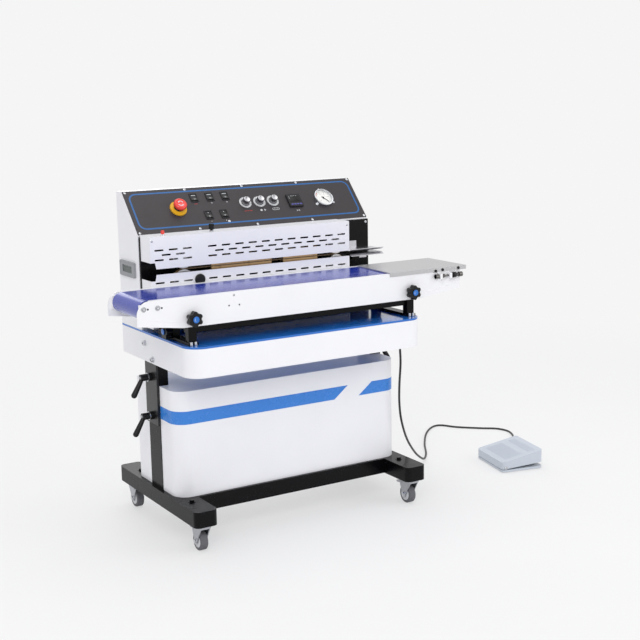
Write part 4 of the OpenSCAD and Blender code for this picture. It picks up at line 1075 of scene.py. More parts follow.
@dataclass
class ControlFace:
    """Trim, screws, marks, switches and instruments of the sloping panel, with u along it and v up it."""

    length: float = 785.0
    sheet: float = 2.5
    stop: tuple[float, float] = (156.0, 85.0)
    rockers: tuple[tuple[float, float], ...] = ((219, 121), (271, 121), (322, 121), (245, 54), (296, 54))
    rocker_tilt: float = -8.0
    lit: tuple[int, ...] = (1, 2, 3)
    speeds: tuple[tuple[float, float], ...] = ((380.5, 89.5), (429, 89.5), (476, 89.5))
    gauge: tuple[float, float] = (656.0, 84.5)
    controller: tuple[float, float] = (551.0, 83.5)
    screw_u: tuple[float, ...] = (9.0, 200.0, 392.5, 585.0, 776.0)
    screw_v: tuple[float, float] = (7.5, 154.5)

    def build(self, bench: Bench) -> None:
        """Makes every piece of the panel.

        Args:
            bench: where the pieces go.
        """
        self.bench = bench
        self.trim()
        self.stop_button()
        self.switches()
        self.dials()
        self.marks()
        self.vacuum_gauge()
        self.temperature()

    def put(self, name: str, skin: Skin, finish: Finish, slot: str, body: str = "machine",
            at: tuple[float, float] = (0.0, 0.0), crease: float = 35.0, bevel: float = 0.0,
            extra: np.ndarray | None = None) -> bpy.types.Object:
        """Puts a skin on the panel at a place, after an extra matrix of its own."""
        matrix = self.bench.panel @ shift(at[0], at[1], 0)
        if extra is not None:
            matrix = matrix @ extra
        return self.bench.put(name, skin, finish, body, slot, matrix, crease, bevel)

    def trim(self) -> None:
        """Makes the blue line inside the panel's edge and the screws along its long sides."""
        middle = (self.length / 2, 84.0, 0.0)
        line = collar(rounded(757, 132, 24, 10), rounded(747, 122, 19, 10),
                      self.sheet - 0.3, self.sheet + 0.12)
        self.put("panel_outline", line.at(*middle), Finish.OUTLINE, "panel_plate")
        screws = [pan_screw(4.3, 2.4).moved(shift(u, v, self.sheet) @ turn("Z", 37 * i + 11 * j))
                  for i, u in enumerate(self.screw_u) for j, v in enumerate(self.screw_v)]
        self.put("panel_screws", joined(screws), Finish.CHROME, "panel_plate")

    def stop_button(self) -> None:
        """Makes the stop button's yellow ring, its collar and the two arrows on its head."""
        ring = turned([(15.6, 2.2), (26.4, 2.2), (26.4, 5.2), (25.2, 6.5), (17.4, 7.4), (15.6, 8.6),
                       (15.6, 2.2)], 64, loop=True)
        self.put("stop_ring", ring, Finish.RING_YELLOW, "panel_plastic", at=self.stop)
        sleeve = turned([(10.6, 3.0), (15.3, 3.0), (15.3, 11.6), (14.6, 12.4), (10.6, 12.4), (10.6, 3.0)],
                        48, loop=True)
        self.put("stop_sleeve", sleeve, Finish.FRAME_PLASTIC, "panel_plastic", at=self.stop)
        arrows = []
        for start in (20.0, 200.0):
            t = np.radians(np.linspace(start, start + 105, 16))
            outer = np.column_stack([9.4 * np.cos(t), 9.4 * np.sin(t)])
            inner = np.column_stack([6.9 * np.cos(t), 6.9 * np.sin(t)])[::-1]
            tip = math.radians(start + 135)
            head = np.array([[11.4 * math.cos(t[-1]), 11.4 * math.sin(t[-1])],
                             [8.2 * math.cos(tip), 8.2 * math.sin(tip)],
                             [5.0 * math.cos(t[-1]), 5.0 * math.sin(t[-1])]])
            arrows.append(prism(np.concatenate([outer, head, inner]), 27.6, 28.18))
        marks = joined(arrows)
        marks.points[:, 2] += np.hypot(marks.points[:, 0], marks.points[:, 1]) / 11
        self.put("stop_arrows", marks, Finish.INK_PALE, "stop_red", "stop_button", self.stop)

    def switches(self) -> None:
        """Makes the rims of the five rocker switches, a faintly glowing painted highlight bar on each of the
        first three, a pale dot on each of the others, and a ring for off.
        """
        rims = [collar(rounded(24.5, 31.5, 3, 5), rounded(19.6, 26.0, 1.5, 5), 4.2, 5.1).at(u, v, 0)
                for u, v in self.rockers]
        self.put("rocker_rims", joined(rims), Finish.FRAME_PLASTIC, "panel_plastic", bevel=0.3)
        for i, at in enumerate(self.rockers, 1):
            face = shift(0, 0, 0.5) @ turn("X", self.rocker_tilt) @ shift(0, 0, 3.2)
            upper, lower = face @ turn("X", 8.53), face @ turn("X", -8.53)
            # The first three rockers get a painted highlight bar; the others get a pale printed dot.
            lit = i in self.lit
            bar = pillow(rounded(14 if lit else 2.2, 2.8, 1.0, 5), rounded(13 if lit else 1.6, 2.0, 0.7, 5),
                         -0.4, 0.15, 0.35)
            self.put(f"rocker_{i}_painted_highlight", bar.at(0, 7.6, 0), Finish.LIGHT_BAR if lit else Finish.INK_PALE,
                     "panel_plastic", f"rocker_{i}", at, extra=upper)
            ring = collar(ellipse(2.6, 2.6, 24), ellipse(1.8, 1.8, 24), -0.3, 0.08).at(0, -6.5, 0)
            self.put(f"rocker_{i}_off_mark", ring, Finish.INK_PALE, "panel_plastic", f"rocker_{i}", at,
                     extra=lower)

    def dials(self) -> None:
        """Makes the ringed scales under the speed knobs, and the knobs' end discs and pointers."""
        t = np.radians(np.linspace(-135, 135, 11) + 90)
        ticks = []
        for angle in t:
            spoke = np.array([[15.4, -0.28], [18.2, -0.28], [18.2, 0.28], [15.4, 0.28]])
            ticks.append(prism(spoke, 4.0, 4.34).moved(turn("Z", math.degrees(angle))))
        scale = turned([(13.4, 3.8), (19.2, 3.8), (19.2, 4.0), (18.6, 4.3), (13.4, 4.3), (13.4, 3.8)],
                       64, loop=True)
        rim = turned([(18.7, 3.6), (20.2, 2.5), (20.2, 3.6), (19.6, 4.5), (18.7, 4.5), (18.7, 3.6)],
                     64, loop=True)
        for i, at in enumerate(self.speeds, 1):
            self.put(f"speed_scale_{i}", scale, Finish.DIAL_GREY, "panel_plastic", at=at)
            self.put(f"speed_rim_{i}", rim, Finish.CHROME, "panel_plastic", at=at)
            self.put(f"speed_ticks_{i}", joined(ticks), Finish.INK_BLACK, "panel_plastic", at=at)
            cap = turned([(9.6, 21.2), (9.6, 21.7), (8.9, 22.0), (8.3, 21.75), (0.05, 21.7)], 48)
            self.put(f"speed_cap_{i}", cap, Finish.GUIDE_STEEL, "knob_alloy", f"speed_knob_{i}", at)
            hand = joined([prism(np.array([[-0.6, 2.0], [0.6, 2.0], [0.6, 9.0], [-0.6, 9.0]]), 21.4, 22.05),
                           prism(np.array([[-0.5, 10.9], [0.5, 10.9], [0.5, 11.6], [-0.5, 11.6]]),
                                 9.0, 19.0)])
            self.put(f"speed_hand_{i}", hand, Finish.INK_BLACK, "knob_alloy", f"speed_knob_{i}", at)

    def marks(self) -> None:
        """Prints plain signs below the switches and knobs: dots, bars, a ring and a flat oval."""
        def bar(x: float, y: float, w: float, h: float) -> Skin:
            """Returns one printed bar centred at x, y."""
            return prism(rounded(w, h, min(w, h) * 0.4, 3), 2.3, 2.6).at(x, y, 0)

        pale = [bar(u + dx, 98.5, 1.0, 4.6) for u, _ in self.rockers[1:3] for dx in (-1.5, 1.5)]
        pale += [bar(296 - 1.2, 30, 1.1, 4.8), bar(247, 31, 3.4, 1.1),
                 prism(ellipse(3.6, 3.6), 2.3, 2.62).at(429 - 4, 58, 0), bar(437, 58, 1.4, 8),
                 bar(434.6, 58, 1.1, 4), bar(439.4, 58, 1.1, 4),
                 collar(rounded(24, 8.6, 4.2, 6), rounded(22, 6.6, 3.2, 6), 2.3, 2.6).at(476, 59, 0),
                 bar(470, 59, 1.2, 3.6), bar(476, 59, 1.2, 3.6), bar(482, 59, 1.2, 3.6),
                 bar(547, 47, 1.2, 7), bar(550.6, 47, 4, 1.2), bar(555, 47, 1.2, 7),
                 prism(ellipse(4.2, 4.2), 2.3, 2.62).at(303, 26, 0)]
        self.put("panel_signs", joined(pale), Finish.INK_PALE, "panel_plate")
        red = [bar(219 + dx, 98.5, 3.2, 1.2) for dx in (-4.2, 0, 4.2)]
        red += [bar(380.5 + dx, 59, 5.0, 1.3) for dx in (-11, 0, 11)]
        red += [bar(380.5 + dx, 59, 1.3, 4.4) for dx in (-5.6, 5.6)]
        self.put("panel_red_signs", joined(red), Finish.INK_RED, "panel_plate")

    def vacuum_gauge(self) -> None:
        """Makes the gauge: case, rolled bezel, dial with its scale and red arc, lens and flange screws."""
        case = turned([(28.4, -29.5), (28.4, 2.6), (31.6, 2.6), (31.6, 3.4), (28.4, 3.4), (28.4, 5.9),
                       (0.05, 5.9)], 64)
        back = turned([(7.0, -42.0), (7.0, -29.0), (6.9, -28.9)], 6)
        piece = self.put("gauge_case", joined([case, back]), Finish.CASE, "instrument_case", at=self.gauge)
        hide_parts("instruments")
        bezel = turned([(27.6, 5.8), (28.3, 2.5), (32.5, 2.5), (32.5, 8.0), (32.2, 10.6), (31.4, 12.4),
                        (30.2, 13.0), (29.0, 12.6), (28.2, 11.2), (27.6, 8.0), (27.6, 5.8)], 96, loop=True)
        self.put("gauge_bezel", bezel, Finish.CHROME, "instrument_case", at=self.gauge)
        self.put("gauge_lens", turned([(28.0, 10.0), (28.0, 10.5), (27.6, 10.7), (0.05, 11.0)], 64),
                 Finish.LENS, "instrument_case", at=self.gauge)
        self.put("gauge_dial", turned([(27.7, 5.7), (27.7, 6.05), (27.4, 6.12), (2.2, 6.12), (2.2, 5.7)], 64),
                 Finish.DIAL_WHITE, "instrument_case", at=self.gauge)
        angles = np.linspace(220, -40, 26)
        ticks = []
        for i, angle in enumerate(angles):
            reach = 19.6 if i % 5 == 0 else 21.6
            half = 0.36 if i % 5 == 0 else 0.18
            spoke = np.array([[reach, -half], [24.2, -half], [24.2, half], [reach, half]])
            ticks.append(prism(spoke, 6.0, 6.22).moved(turn("Z", float(angle))))
        self.put("gauge_ticks", joined(ticks), Finish.INK_BLACK, "instrument_case", at=self.gauge)
        self.put("gauge_arc", self.sector(24.6, 26.2, 128, 206, 6.0, 6.24), Finish.INK_RED,
                 "instrument_case", at=self.gauge)
        self.numbers([str(n) for n in range(0, 6)], 15.6, 220, -40)
        plates = [pan_screw(2.9, 1.9).moved(turn("Z", a) @ shift(36.6, 0, 3.2)) for a in (90, 213, 333)]
        ears = [turned([(4.4, 2.5), (4.4, 2.9), (4.1, 3.2), (0.05, 3.2)], 24).moved(
            turn("Z", a) @ shift(36.0, 0, 0)) for a in (90, 213, 333)]
        self.put("gauge_screws", joined(plates + ears), Finish.CHROME, "instrument_case", at=self.gauge)

    def sector(self, inner: float, outer: float, start: float, end: float, low: float, high: float) -> Skin:
        """Raises the part of a ring between two radii and two angles in degrees."""
        t = np.radians(np.linspace(start, end, 24))
        far = np.column_stack([outer * np.cos(t), outer * np.sin(t)])
        near = np.column_stack([inner * np.cos(t), inner * np.sin(t)])[::-1]
        return prism(np.concatenate([far, near]), low, high)

    def numbers(self, words: list[str], radius: float, start: float, end: float) -> None:
        """Sets the scale's numbers upright round the dial, as flat text made into a mesh.

        Args:
            words: the numbers in order.
            radius: distance of their middles from the dial's.
            start: angle of the first in degrees.
            end: angle of the last.
        """
        skins: list[Skin] = []
        for word, angle in zip(words, np.radians(np.linspace(start, end, len(words)))):
            curve = bpy.data.curves.new("number", "FONT")
            curve.body, curve.size, curve.align_x, curve.align_y = word, 5.2, "CENTER", "CENTER"
            curve.extrude, curve.resolution_u = 0.1, 3
            holder = bpy.data.objects.new("number", curve)
            bpy.context.scene.collection.objects.link(holder)
            bpy.context.view_layer.update()
            graph = bpy.context.evaluated_depsgraph_get()
            mesh = bpy.data.meshes.new_from_object(holder.evaluated_get(graph))
            co = np.empty(len(mesh.vertices) * 3, np.float32)
            mesh.vertices.foreach_get("co", co)
            mesh.calc_loop_triangles()
            triangles = np.empty(len(mesh.loop_triangles) * 3, np.int32)
            mesh.loop_triangles.foreach_get("vertices", triangles)
            spot = (radius * math.cos(angle), radius * math.sin(angle), 6.15)
            skins.append(Skin(co.reshape(-1, 3).astype(float) + spot, np.empty((0, 4), int),
                              list(triangles.reshape(-1, 3))))
            bpy.data.objects.remove(holder)
            bpy.data.curves.remove(curve)
            bpy.data.meshes.remove(mesh)
        self.put("gauge_numbers", joined(skins), Finish.INK_BLACK, "instrument_case", at=self.gauge)

    def temperature(self) -> None:
        """Makes the square temperature controller: case, black window and its four keys."""
        body = pillow(rounded(44.8, 44.8, 1.0, 3), rounded(44.6, 44.6, 1.0, 3), -62.0, 2.0, 2.6)
        face = joined([
            pillow(rounded(48, 48, 2.2, 5), rounded(46.6, 46.6, 1.6, 5), 2.4, 7.6, 8.5)])
        self.put("controller_case", joined([body, face]), Finish.FRAME_PLASTIC, "instrument_case",
                 at=self.controller)
        glass = pillow(rounded(42, 27, 1.5, 4), rounded(41, 26, 1.2, 4), 8.2, 8.6, 8.8).at(0, 5.5, 0)
        self.put("controller_window", glass, Finish.SWITCH_PLASTIC, "instrument_case", at=self.controller)
        strip_plate = prism(rounded(42, 9.6, 1.2, 4), 8.3, 8.62).at(0, -16.4, 0)
        self.put("controller_strip", strip_plate, Finish.FRAME_PLASTIC, "instrument_case", at=self.controller)
        keys = [pillow(rounded(7.6, 4.6, 1.0, 4), rounded(6.8, 3.8, 0.8, 4), 8.4, 9.1, 9.4).at(x, -16.4, 0)
                for x in (-15.0, -5.0, 5.0, 15.0)]
        self.put("controller_keys", joined(keys), Finish.KEY_BLUE, "instrument_case", at=self.controller)
        lamps = [prism(ellipse(0.7, 0.7, 12), 8.6, 8.95).at(-17.5, y, 0) for y in (13, 9.5, 6)]
        lamps += [prism(rounded(5, 0.9, 0.3, 2), 8.6, 8.92).at(x, 15.5, 0) for x in (-8, 0, 8)]
        self.put("controller_lamps", joined(lamps), Finish.INK_PALE, "instrument_case", at=self.controller)


# ---------------------------------------------------------------- head

@dataclass
class HeadTrim:
    """The bag counter, the screws of the housing and its guards, and the caps on the guards' shelf."""

    counter_y: tuple[float, float] = (23.0, 130.0)
    counter_z: tuple[float, float] = (735.4, 780.4)
    window: tuple[float, float, float, float] = (43.0, 112.0, 747.4, 768.4)
    guard_face: float = -74.6
    cover_y: float = 146.5
    table_bolts: tuple[tuple[float, float], ...] = ((-20.0, 553.0), (-72.0, 513.0))

    def build(self, bench: Bench) -> None:
        """Makes every piece of the head's trim.

        Args:
            bench: where the pieces go.
        """
        self.counter(bench)
        self.shelf(bench)
        front = turn("X", 90)
        back = turn("X", -90)
        bench.put("recess_screws", joined([pan_screw(4.0, 2.2).moved(shift(x, -8, z) @ front)
                                           for x, z in ((774, 848), (774, 610), (682, 848))]),
                  Finish.CHROME, "machine", "black_paint")
        guard = [pan_screw(3.6, 2.0).moved(shift(x, self.guard_face, z) @ front)
                 for x in (10, 661) for z in (852, 610)]
        bench.put("guard_screws", joined(guard), Finish.CHROME, "machine", "white_paint")
        cover = [pan_screw(4.0, 2.2).moved(shift(x, self.cover_y, z) @ back)
                 for x in (72, 285, 500, 713) for z in (630, 936)]
        cover += [pan_screw(4.0, 2.2).moved(shift(x, self.cover_y, 783) @ back) for x in (72, 713)]
        bench.put("rear_cover_screws", joined(cover), Finish.CHROME, "machine", "white_paint")
        side = turn("Y", -90)
        washer = turned([(9.0, -0.4), (9.0, 1.4), (8.4, 1.9), (0.05, 1.9)], 32)
        sides = [joined([washer, cap_screw(6.6, 7.0, 3.0).at(0, 0, 1.6)]).moved(shift(0, y, z) @ side)
                 for y, z in self.table_bolts]
        bench.put("table_side_bolts", joined(sides), Finish.CHROME, "machine", "zinc_steel")

    def counter(self, bench: Bench) -> None:
        """Makes the counter in the left side: frame with a raised rim, sunk window and dark digits."""
        width, height = self.counter_y[1] - self.counter_y[0], self.counter_z[1] - self.counter_z[0]
        wide, high = self.window[1] - self.window[0], self.window[3] - self.window[2]
        middle = (self.counter_y[0] + width / 2, self.counter_z[0] + height / 2)
        offset = ((self.window[0] + self.window[1]) / 2 - middle[0],
                  (self.window[2] + self.window[3]) / 2 - middle[1])
        matrix = bench.head @ shift(0, middle[0], middle[1]) @ turn("Z", -90) @ turn("X", 90)
        hole = rounded(wide, high, 1.5, 4) + (-offset[0], offset[1])
        frame = joined([
            collar(rounded(width, height, 4, 4), hole, 0.0, 5.2),
            collar(rounded(width, height, 4, 4), rounded(width - 8, height - 8, 2.4, 4), 5.0, 6.0),
            prism(rounded(width - 9, height - 9, 1.5, 4), -26.0, 0.4)])
        bench.put("counter_case", frame, Finish.COUNTER_CASE, "machine", "instrument_case", matrix, bevel=0.5)
        glass = prism(rounded(wide, high, 1.2, 4), 0.3, 2.6).at(-offset[0], offset[1], 0)
        bench.put("counter_window", glass, Finish.LCD, "machine", "instrument_case", matrix)
        slant = np.array([[1, 0.12, 0, 0], [0, 1, 0, 0], [0, 0, 1, 0], [0, 0, 0, 1]], float)
        segments = []
        for digit in range(5):
            for x, y, w, h in ((0, 6, 5.6, 1.1), (0, -6, 5.6, 1.1), (-3.2, 3, 1.1, 5), (3.2, 3, 1.1, 5),
                               (-3.2, -3, 1.1, 5), (3.2, -3, 1.1, 5)):
                segments.append(prism(rounded(w, h, 0.3, 2), 2.5, 2.75).at(x - 22 + 11 * digit, y, 0))
        digits = joined(segments).moved(slant).at(-offset[0], offset[1], 0)
        bench.put("counter_digits", digits, Finish.INK_BLACK, "machine", "instrument_case", matrix)

    def shelf(self, bench: Bench) -> None:
        """Makes the red cap on the shelf's left screw and the bright nuts under both knobs."""
        cap = turned([(4.5, 868.0), (5.2, 868.4), (5.2, 876.6), (4.2, 878.3), (0.05, 878.8)], 32)
        bench.put("shelf_red_cap", cap.at(51, -60, 0), Finish.STOP_RED, "machine", "stop_red")
        nuts = [turned([(5.6, 863.0), (5.6, 867.6), (5.0, 868.2), (0.05, 868.2)], 6).at(51, -60, 0)]
        bench.put("shelf_nut", joined(nuts), Finish.CHROME, "machine", "zinc_steel")
        collar_nut = turned([(4.3, 863.2), (7.2, 863.2), (7.2, 866.8), (6.6, 867.4), (4.3, 867.4),
                             (4.3, 863.2)], 6, loop=True)
        bench.put("shelf_knob_nut", collar_nut.at(205, -60, 0), Finish.CHROME, "shelf_knob", "knob_alloy")
        dome = turned([(10.5, 6.9), (10.0, 7.3), (0.05, 7.6)], 48)
        bench.put("guard_knob_face", dome.moved(shift(155.5, self.guard_face, 731) @ turn("X", 90)),
                  Finish.SWITCH_PLASTIC, "guard_knob", "black_plastic")


# ---------------------------------------------------------------- conveyor

@dataclass
class ConveyorTrim:
    """Bolts, embossed stiffeners, blue knob caps and the screws of the infeed plate."""

    front_y: float = -286.4
    roller_z: float = 694.3
    bolt_x: tuple[float, ...] = (-113.5, -73.5, 853.5, 893.5)
    knob_x: tuple[float, float] = (27.0, 751.0)
    knob_z: float = 661.9

    def build(self, bench: Bench) -> None:
        """Makes every piece of the conveyor's trim.

        Args:
            bench: where the pieces go.
        """
        front = turn("X", 90)
        washers = joined([turned([(7.6, -0.3), (7.6, 0.7), (7.2, 1.1), (0.05, 1.1)], 32).moved(
            shift(x, self.front_y, self.roller_z + 7) @ front) for x in self.bolt_x])
        bench.put("bearing_washers", washers, Finish.CHROME, "conveyor", "zinc_steel")
        heads = joined([cap_screw(4.9, 3.7, 2.5).moved(shift(x, self.front_y, self.roller_z + 7) @ front)
                        for x in self.bolt_x])
        bench.put("bearing_bolts", heads, Finish.ZINC, "conveyor", "zinc_steel")
        # Painted shade: these black discs stand for the dark inside of the holes beside the bolts on the
        # conveyor's side plate.
        hole_shades = joined([turned([(2.6, -0.3), (2.6, 0.35), (2.3, 0.5), (0.05, 0.5)], 20).moved(
            shift(x, self.front_y, z) @ front)
            for x, z in ((-101.5, 700.5), (-61.5, 700.5), (835.0, 714.5), (868.0, 716.0))])
        bench.put("hole_shade_discs", hole_shades, Finish.BLACK_PLASTIC, "conveyor", "black_plastic")
        ridges = []
        for ends in (((-101, 671), (-7, 654.7)), ((795.5, 654.8), (898, 666.6))):
            (x0, z0), (x1, z1) = ends
            t = np.linspace(0, 1, 30)
            path = np.column_stack([x0 + (x1 - x0) * t, np.full(30, self.front_y + 0.9), z0 + (z1 - z0) * t])
            radii = 1.6 * np.sqrt(np.clip(1 - (2 * t - 1) ** 12, 0.02, 1))
            ridges.append(tube(path, radii, 12, (0, 1, 0)))
        bench.put("embossed_lines", joined(ridges), Finish.PLATE_WHITE, "conveyor", "white_paint", crease=60)
        cap = turned([(8.9, 24.0), (8.9, 24.8), (8.2, 25.6), (0.05, 26.2)], 40)
        # The pale crescent on each blue cap is a painted highlight, not a mark on the cap.
        glint = self.crescent(4.6, 1.1, 25.7, 26.15)
        washer = turned([(4.3, -0.2), (11.6, -0.2), (11.6, 1.0), (4.3, 1.0), (4.3, -0.2)], 32, loop=True)
        for side, x in zip(("left", "right"), self.knob_x):
            matrix = shift(x, self.front_y - 0.3, self.knob_z) @ front
            bench.put(f"star_cap_{side}", cap.moved(matrix), Finish.BLUE_CAP, f"star_knob_{side}",
                      "blue_paint")
            bench.put(f"star_glint_{side}", glint.moved(matrix), Finish.INK_PALE, f"star_knob_{side}",
                      "blue_paint")
            bench.put(f"star_washer_{side}", washer.moved(shift(x, self.front_y - 1.2, self.knob_z) @ front),
                      Finish.ZINC, f"star_knob_{side}", "zinc_steel")
        # The lock knob's cap gets the same painted highlight.
        lock = shift(17.7, -163, 609.6) @ turn("Y", -90)
        bench.put("lock_cap", cap.moved(lock), Finish.BLUE_CAP, "carriage_knob", "blue_paint")
        bench.put("lock_glint", glint.moved(lock), Finish.INK_PALE, "carriage_knob", "blue_paint")
        lips = [hex_bolt(4.0, 2.4, 4.6).moved(shift(x, -288.2, z) @ front)
                for x, z in ((842.0, 716.6), (868.0, 718.2), (928.0, 719.2))]
        bench.put("lip_bolts", joined(lips), Finish.INK_BLACK, "conveyor", "zinc_steel")
        studs = [turned([(4.6, 587.6), (4.6, 597.0), (4.0, 597.8), (0.05, 597.8)], 24).at(x, -287.2, 0)
                 for x in (20.5, 33.5, 744.5, 757.5)]
        bench.put("carriage_studs", joined(studs), Finish.CHROME, "carriage", "zinc_steel")
        end_knob = turned([(3.4, 0), (8.1, 0), (8.8, 1.2), (8.8, 10.8), (8.1, 12.0), (4.2, 12.4), (3.4, 12.4),
                           (3.4, 0)], 36, loop=True)
        grips = [turned([(7.4, -0.1), (7.4, 12.1), (7.0, 12.2), (0.05, 12.2)], 6)]
        bench.put("tension_end_knob", joined([end_knob] + grips).moved(
            shift(900.0, -294.4, 700.4) @ turn("Y", 90)), Finish.BLACK_PLASTIC, "tension_knob",
            "black_plastic")
        tail = turned([(7.25, 0), (7.25, 11.2), (6.6, 11.9), (0.05, 11.9)], 6)
        bench.put("tension_tail_nut", tail.moved(shift(836.0, -294.4, 700.4) @ turn("Y", 90)),
                  Finish.BLACK_PLASTIC, "tension_knob", "black_plastic")

    def crescent(self, radius: float, width: float, low: float, high: float) -> Skin:
        """Raises a thin moon-shaped arc: its half-width is width * sin(pi * s) along 150 degrees."""
        s = np.linspace(0.02, 0.98, 20)
        t = np.radians(105 + 150 * s)
        half = width / 2 * np.sin(np.pi * s)
        far = np.column_stack([(radius + half) * np.cos(t), (radius + half) * np.sin(t)])
        near = np.column_stack([(radius - half) * np.cos(t), (radius - half) * np.sin(t)])[::-1]
        return prism(np.concatenate([far, near]), low, high)


# ---------------------------------------------------------------- stand

@dataclass
class StandTrim:
    """The cabinet's stripe, rear screws and louvres, the levers' studs, the casters' hubs, the feet's bolts."""

    front_y: float = -189.0
    side_x: tuple[float, float] = (10.0, 766.0)
    corner: float = 45.0
    stripe_z: tuple[float, float] = (340.0, 378.0)
    break_x: tuple[tuple[float, float], tuple[float, float]] = ((535.0, 583.5), (622.5, 671.0))
    lever_z: tuple[float, float] = (458.0, 343.0)
    post_y: float = -46.0
    foot_x: tuple[float, float] = (32.0, 744.0)
    caster_y: tuple[float, float] = (-296.0, 188.0)
    trail: float = 20.0

    def build(self, bench: Bench) -> None:
        """Makes every piece of the stand's trim.

        Args:
            bench: where the pieces go.
        """
        self.stripe(bench)
        self.levers(bench)
        self.casters(bench)
        back = turn("X", -90)
        screws = [pan_screw(4.0, 2.2).moved(shift(x, 78.5, z) @ back)
                  for x in (74, 231, 388, 545, 702) for z in (162, 400)]
        bench.put("cabinet_rear_screws", joined(screws), Finish.CHROME, "stand", "white_paint")
        louvres = [self.louvre(60.0).moved(shift(x, 78.5, 300 + 12 * row)) for x in (180, 260, 452, 532)
                   for row in range(6)]
        bench.put("cabinet_louvres", joined(louvres), Finish.WHITE_PAINT, "stand", "white_paint")
        bolts = [hex_bolt(7.5, 5.0, 11.0).moved(shift(x, y, 126)) for x in self.foot_x
                 for y in (-228.0, 128.0)]
        bench.put("foot_bolts", joined(bolts), Finish.BLACK_PAINT, "stand", "black_paint")

    def louvre(self, length: float) -> Skin:
        """Raises one pressed louvre: its depth at (u, v) is 3.4 mm * sqrt(sin(pi u)) * cos(pi v / 2)."""
        u, v = np.meshgrid(np.linspace(0, 1, 24), np.linspace(0, 1, 6), indexing="ij")
        rise = 3.4 * np.sqrt(np.clip(np.sin(np.pi * u), 0, 1)) * np.cos(v * np.pi / 2)
        points = np.stack([(u - 0.5) * length, rise - 0.05, v * 7.0], axis=-1)
        skin = lattice(points)
        floor = lattice(np.stack([
            (u[:, ::-1] - 0.5) * length, np.full_like(u, -0.05), v[:, ::-1] * 7.0], axis=-1))
        return joined([skin, floor])

    def stripe(self, bench: Bench) -> None:
        """Wraps the blue stripe round the left front corner, along the front and round the right one."""
        left, right = self.side_x
        t = np.radians(np.linspace(0, 90, 18))
        c = self.corner
        round_left = np.column_stack([left + c - c * np.cos(t), self.front_y + c - c * np.sin(t)])
        round_right = np.column_stack([right - c + c * np.sin(t), self.front_y + c - c * np.cos(t)])
        low, high = self.stripe_z
        (a_low, a_high), (b_low, b_high) = self.break_x
        first = np.concatenate([[[left, -86.5]], round_left, [[a_low, self.front_y]]])
        second = np.concatenate([[[b_high, self.front_y]], round_right, [[right, -86.5]]])
        pieces = [strip(first, np.full(len(first), low), np.full(len(first), high), 0.35),
                  strip(second, np.full(len(second), low), np.full(len(second), high), 0.35)]
        wedge_a = np.array([[a_low, low], [a_low, high], [a_high, high]])[::-1]
        wedge_b = np.array([[b_low, low], [b_high, low], [b_high, high]])
        upright = shift(0, self.front_y, 0) @ turn("X", 90)
        pieces += [prism(wedge, 0.0, 0.35).moved(upright) for wedge in (wedge_a, wedge_b)]
        bench.put("cabinet_stripe", joined(pieces), Finish.STRIPE, "stand", "blue_paint", crease=40)

    def levers(self, bench: Bench) -> None:
        """Sets a bright washer behind each clamping lever's hub and a screw in its outer end."""
        names = {458.0: "upper", 343.0: "lower"}
        for z in self.lever_z:
            for side, x, way in (("left", -31.0, -90), ("right", 807.0, 90)):
                end = cap_screw(4.6, 1.6, 2.4).moved(shift(x, self.post_y, z) @ turn("Y", way))
                ring = turned([(10.4, -0.6), (12.8, -0.6), (12.8, 1.4), (10.4, 1.4), (10.4, -0.6)], 40,
                              loop=True)
                band = ring.moved(shift(-8.6 if side == "left" else 784.6, self.post_y, z) @ turn("Y", way))
                bench.put(f"lever_studs_{names[z]}_{side}", joined([end, band]), Finish.CHROME,
                          f"clamp_lever_{names[z]}_{side}", "zinc_steel")

    def casters(self, bench: Bench) -> None:
        """Makes each caster's hub discs, which turn with the wheel, and its axle nuts, which stay on the fork."""
        for front, y in zip((True, False), self.caster_y):
            for left, x in zip((True, False), self.foot_x):
                place = f"{'front' if front else 'rear'}_{'left' if left else 'right'}"
                axle = shift(x, y + (self.trail if front else -self.trail), 28.0) @ turn("Y", 90)
                hubs = [turned([(19.5, 10.6), (19.5, 11.15), (17.8, 11.5), (12.5, 11.2), (8.5, 11.9),
                                (5.2, 11.9), (5.2, 10.6), (19.5, 10.6)], 48, loop=True)]
                hubs += [hubs[0].moved(turn("Y", 180))]
                bench.put(f"caster_hub_{place}", joined(hubs).moved(axle), Finish.CASE,
                          f"caster_wheel_{place}", "wheel_alloy")
                nuts = [hex_bolt(6.8, 3.6, 8.0).moved(axle @ shift(0, 0, 15.4)),
                        hex_bolt(6.8, 3.6, 8.0).moved(axle @ turn("Y", 180) @ shift(0, 0, 15.4))]
                bench.put(f"caster_nuts_{place}", joined(nuts), Finish.CHROME, f"caster_fork_{place}",
                          "zinc_steel")


# ---------------------------------------------------------------- foot switch

@dataclass
class FootSwitchTrim:
    """Rubber feet and the bright ends of the foot switch's hinge pin."""

    length: float = 150.0
    width: float = 185.0
    hinge: tuple[float, float] = (-62.0, 17.0)

    def build(self, bench: Bench) -> None:
        """Makes every piece of the foot switch's trim.

        Args:
            bench: where the pieces go.
        """
        feet = [turned([(9.25, 0.05), (9.25, 2.2), (8.9, 2.9), (0.05, 2.9)], 32).at(
            sx * (self.length / 2 - 18), sy * (self.width / 2 - 18), 0) for sx in (-1, 1) for sy in (-1, 1)]
        bench.put("switch_feet", joined(feet), Finish.SOLE, "stand", "tyre_rubber", bench.pedal)
        ends = [cap_screw(5.6, 2.2, 2.4).moved(
            shift(self.hinge[0], side * (self.width / 2 + 0.4), self.hinge[1]) @ turn("X", -90 * side))
            for side in (-1, 1)]
        bench.put("switch_hinge_ends", joined(ends), Finish.CHROME, "stand", "zinc_steel", bench.pedal)


# ---------------------------------------------------------------- carried-over nodes

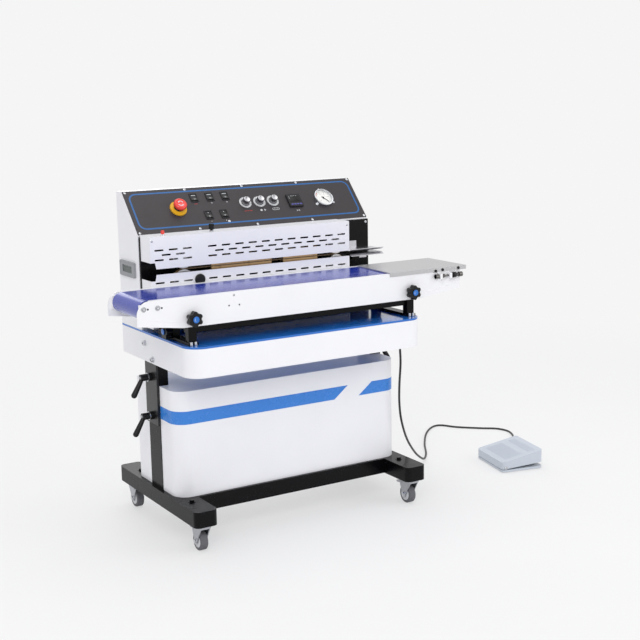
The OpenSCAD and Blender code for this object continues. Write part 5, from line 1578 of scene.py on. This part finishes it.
@dataclass
class Wardrobe:
    """Gives each node of the frame its finish."""

    plain: dict[str, Finish] = field(default_factory=lambda: {
        "stand_base": Finish.BLACK_PAINT, "posts": Finish.BLACK_PAINT, "cabinet": Finish.WHITE_PAINT,
        "vacuum_pump": Finish.PUMP, "table_frame": Finish.TABLE_PAINT, "table_top": Finish.BLUE_PAINT,
        "head_housing": Finish.WHITE_PAINT, "control_panel": Finish.PANEL,
        "panel_fittings": Finish.FRAME_PLASTIC, "instruments": Finish.CASE,
        "gauge_needle": Finish.INK_BLACK, "stop_button": Finish.STOP_RED,
        "sealing_frame": Finish.BLACK_PAINT, "sealing_blocks": Finish.BRASS,
        "sealing_bands": Finish.BAND, "upper_guard": Finish.WHITE_PAINT,
        "lower_guard": Finish.WHITE_PAINT, "shelf_knob": Finish.BLACK_PLASTIC,
        "guard_knob": Finish.BLACK_PLASTIC, "feed_guides": Finish.GUIDE_STEEL,
        "carriage_frame": Finish.BLACK_PAINT, "carriage_knob": Finish.BLACK_PLASTIC,
        "front_side_plate": Finish.PLATE_WHITE, "conveyor_bed": Finish.PLATE_WHITE,
        "conveyor_belt": Finish.BELT, "drive_roller": Finish.ROLLER, "idler_roller": Finish.ROLLER,
        "star_knob_left": Finish.BLACK_PLASTIC, "star_knob_right": Finish.BLACK_PLASTIC,
        "tension_knob": Finish.TENSION, "infeed_plate": Finish.STEEL_PLATE,
        "pedal_base": Finish.PEDAL, "pedal_tread": Finish.PEDAL, "pedal_cord": Finish.JACKET})
    families: dict[str, Finish] = field(default_factory=lambda: {
        "caster_fork": Finish.ZINC, "caster_wheel": Finish.TYRE, "caster_brake": Finish.ZINC,
        "clamp_lever": Finish.BLACK_PLASTIC, "band_wheel": Finish.WHEEL_ALLOY,
        "rocker": Finish.SWITCH_PLASTIC, "speed_knob": Finish.KNOB_ALLOY})

    def dress(self, nodes: dict[str, bpy.types.Object]) -> None:
        """Puts the finish of each node on its object.

        Args:
            nodes: the frame's nodes by name.
        """
        for name, node in nodes.items():
            finish = self.plain.get(name) or next(
                finish for family, finish in self.families.items() if name.startswith(family))
            node.data.materials.clear()
            node.data.materials.append(finish.material())
            log.info("%s wears %s", name, finish.name)


# ---------------------------------------------------------------- whole machine

def main() -> None:
    """Builds the studio, every added piece with the cord last, then the finishes of the nodes, in that order."""
    logging.basicConfig(level=logging.INFO, format="%(name)s: %(message)s")
    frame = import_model()
    bench = Bench()
    Studio().build()
    for assembly in (ControlFace(), HeadTrim(), ConveyorTrim(), StandTrim(), FootSwitchTrim(), SwitchLead()):
        assembly.build(bench)
    Wardrobe().dress(frame["nodes"])
    log.info("%d added pieces", bench.made)


if __name__ == "__main__":
    main()
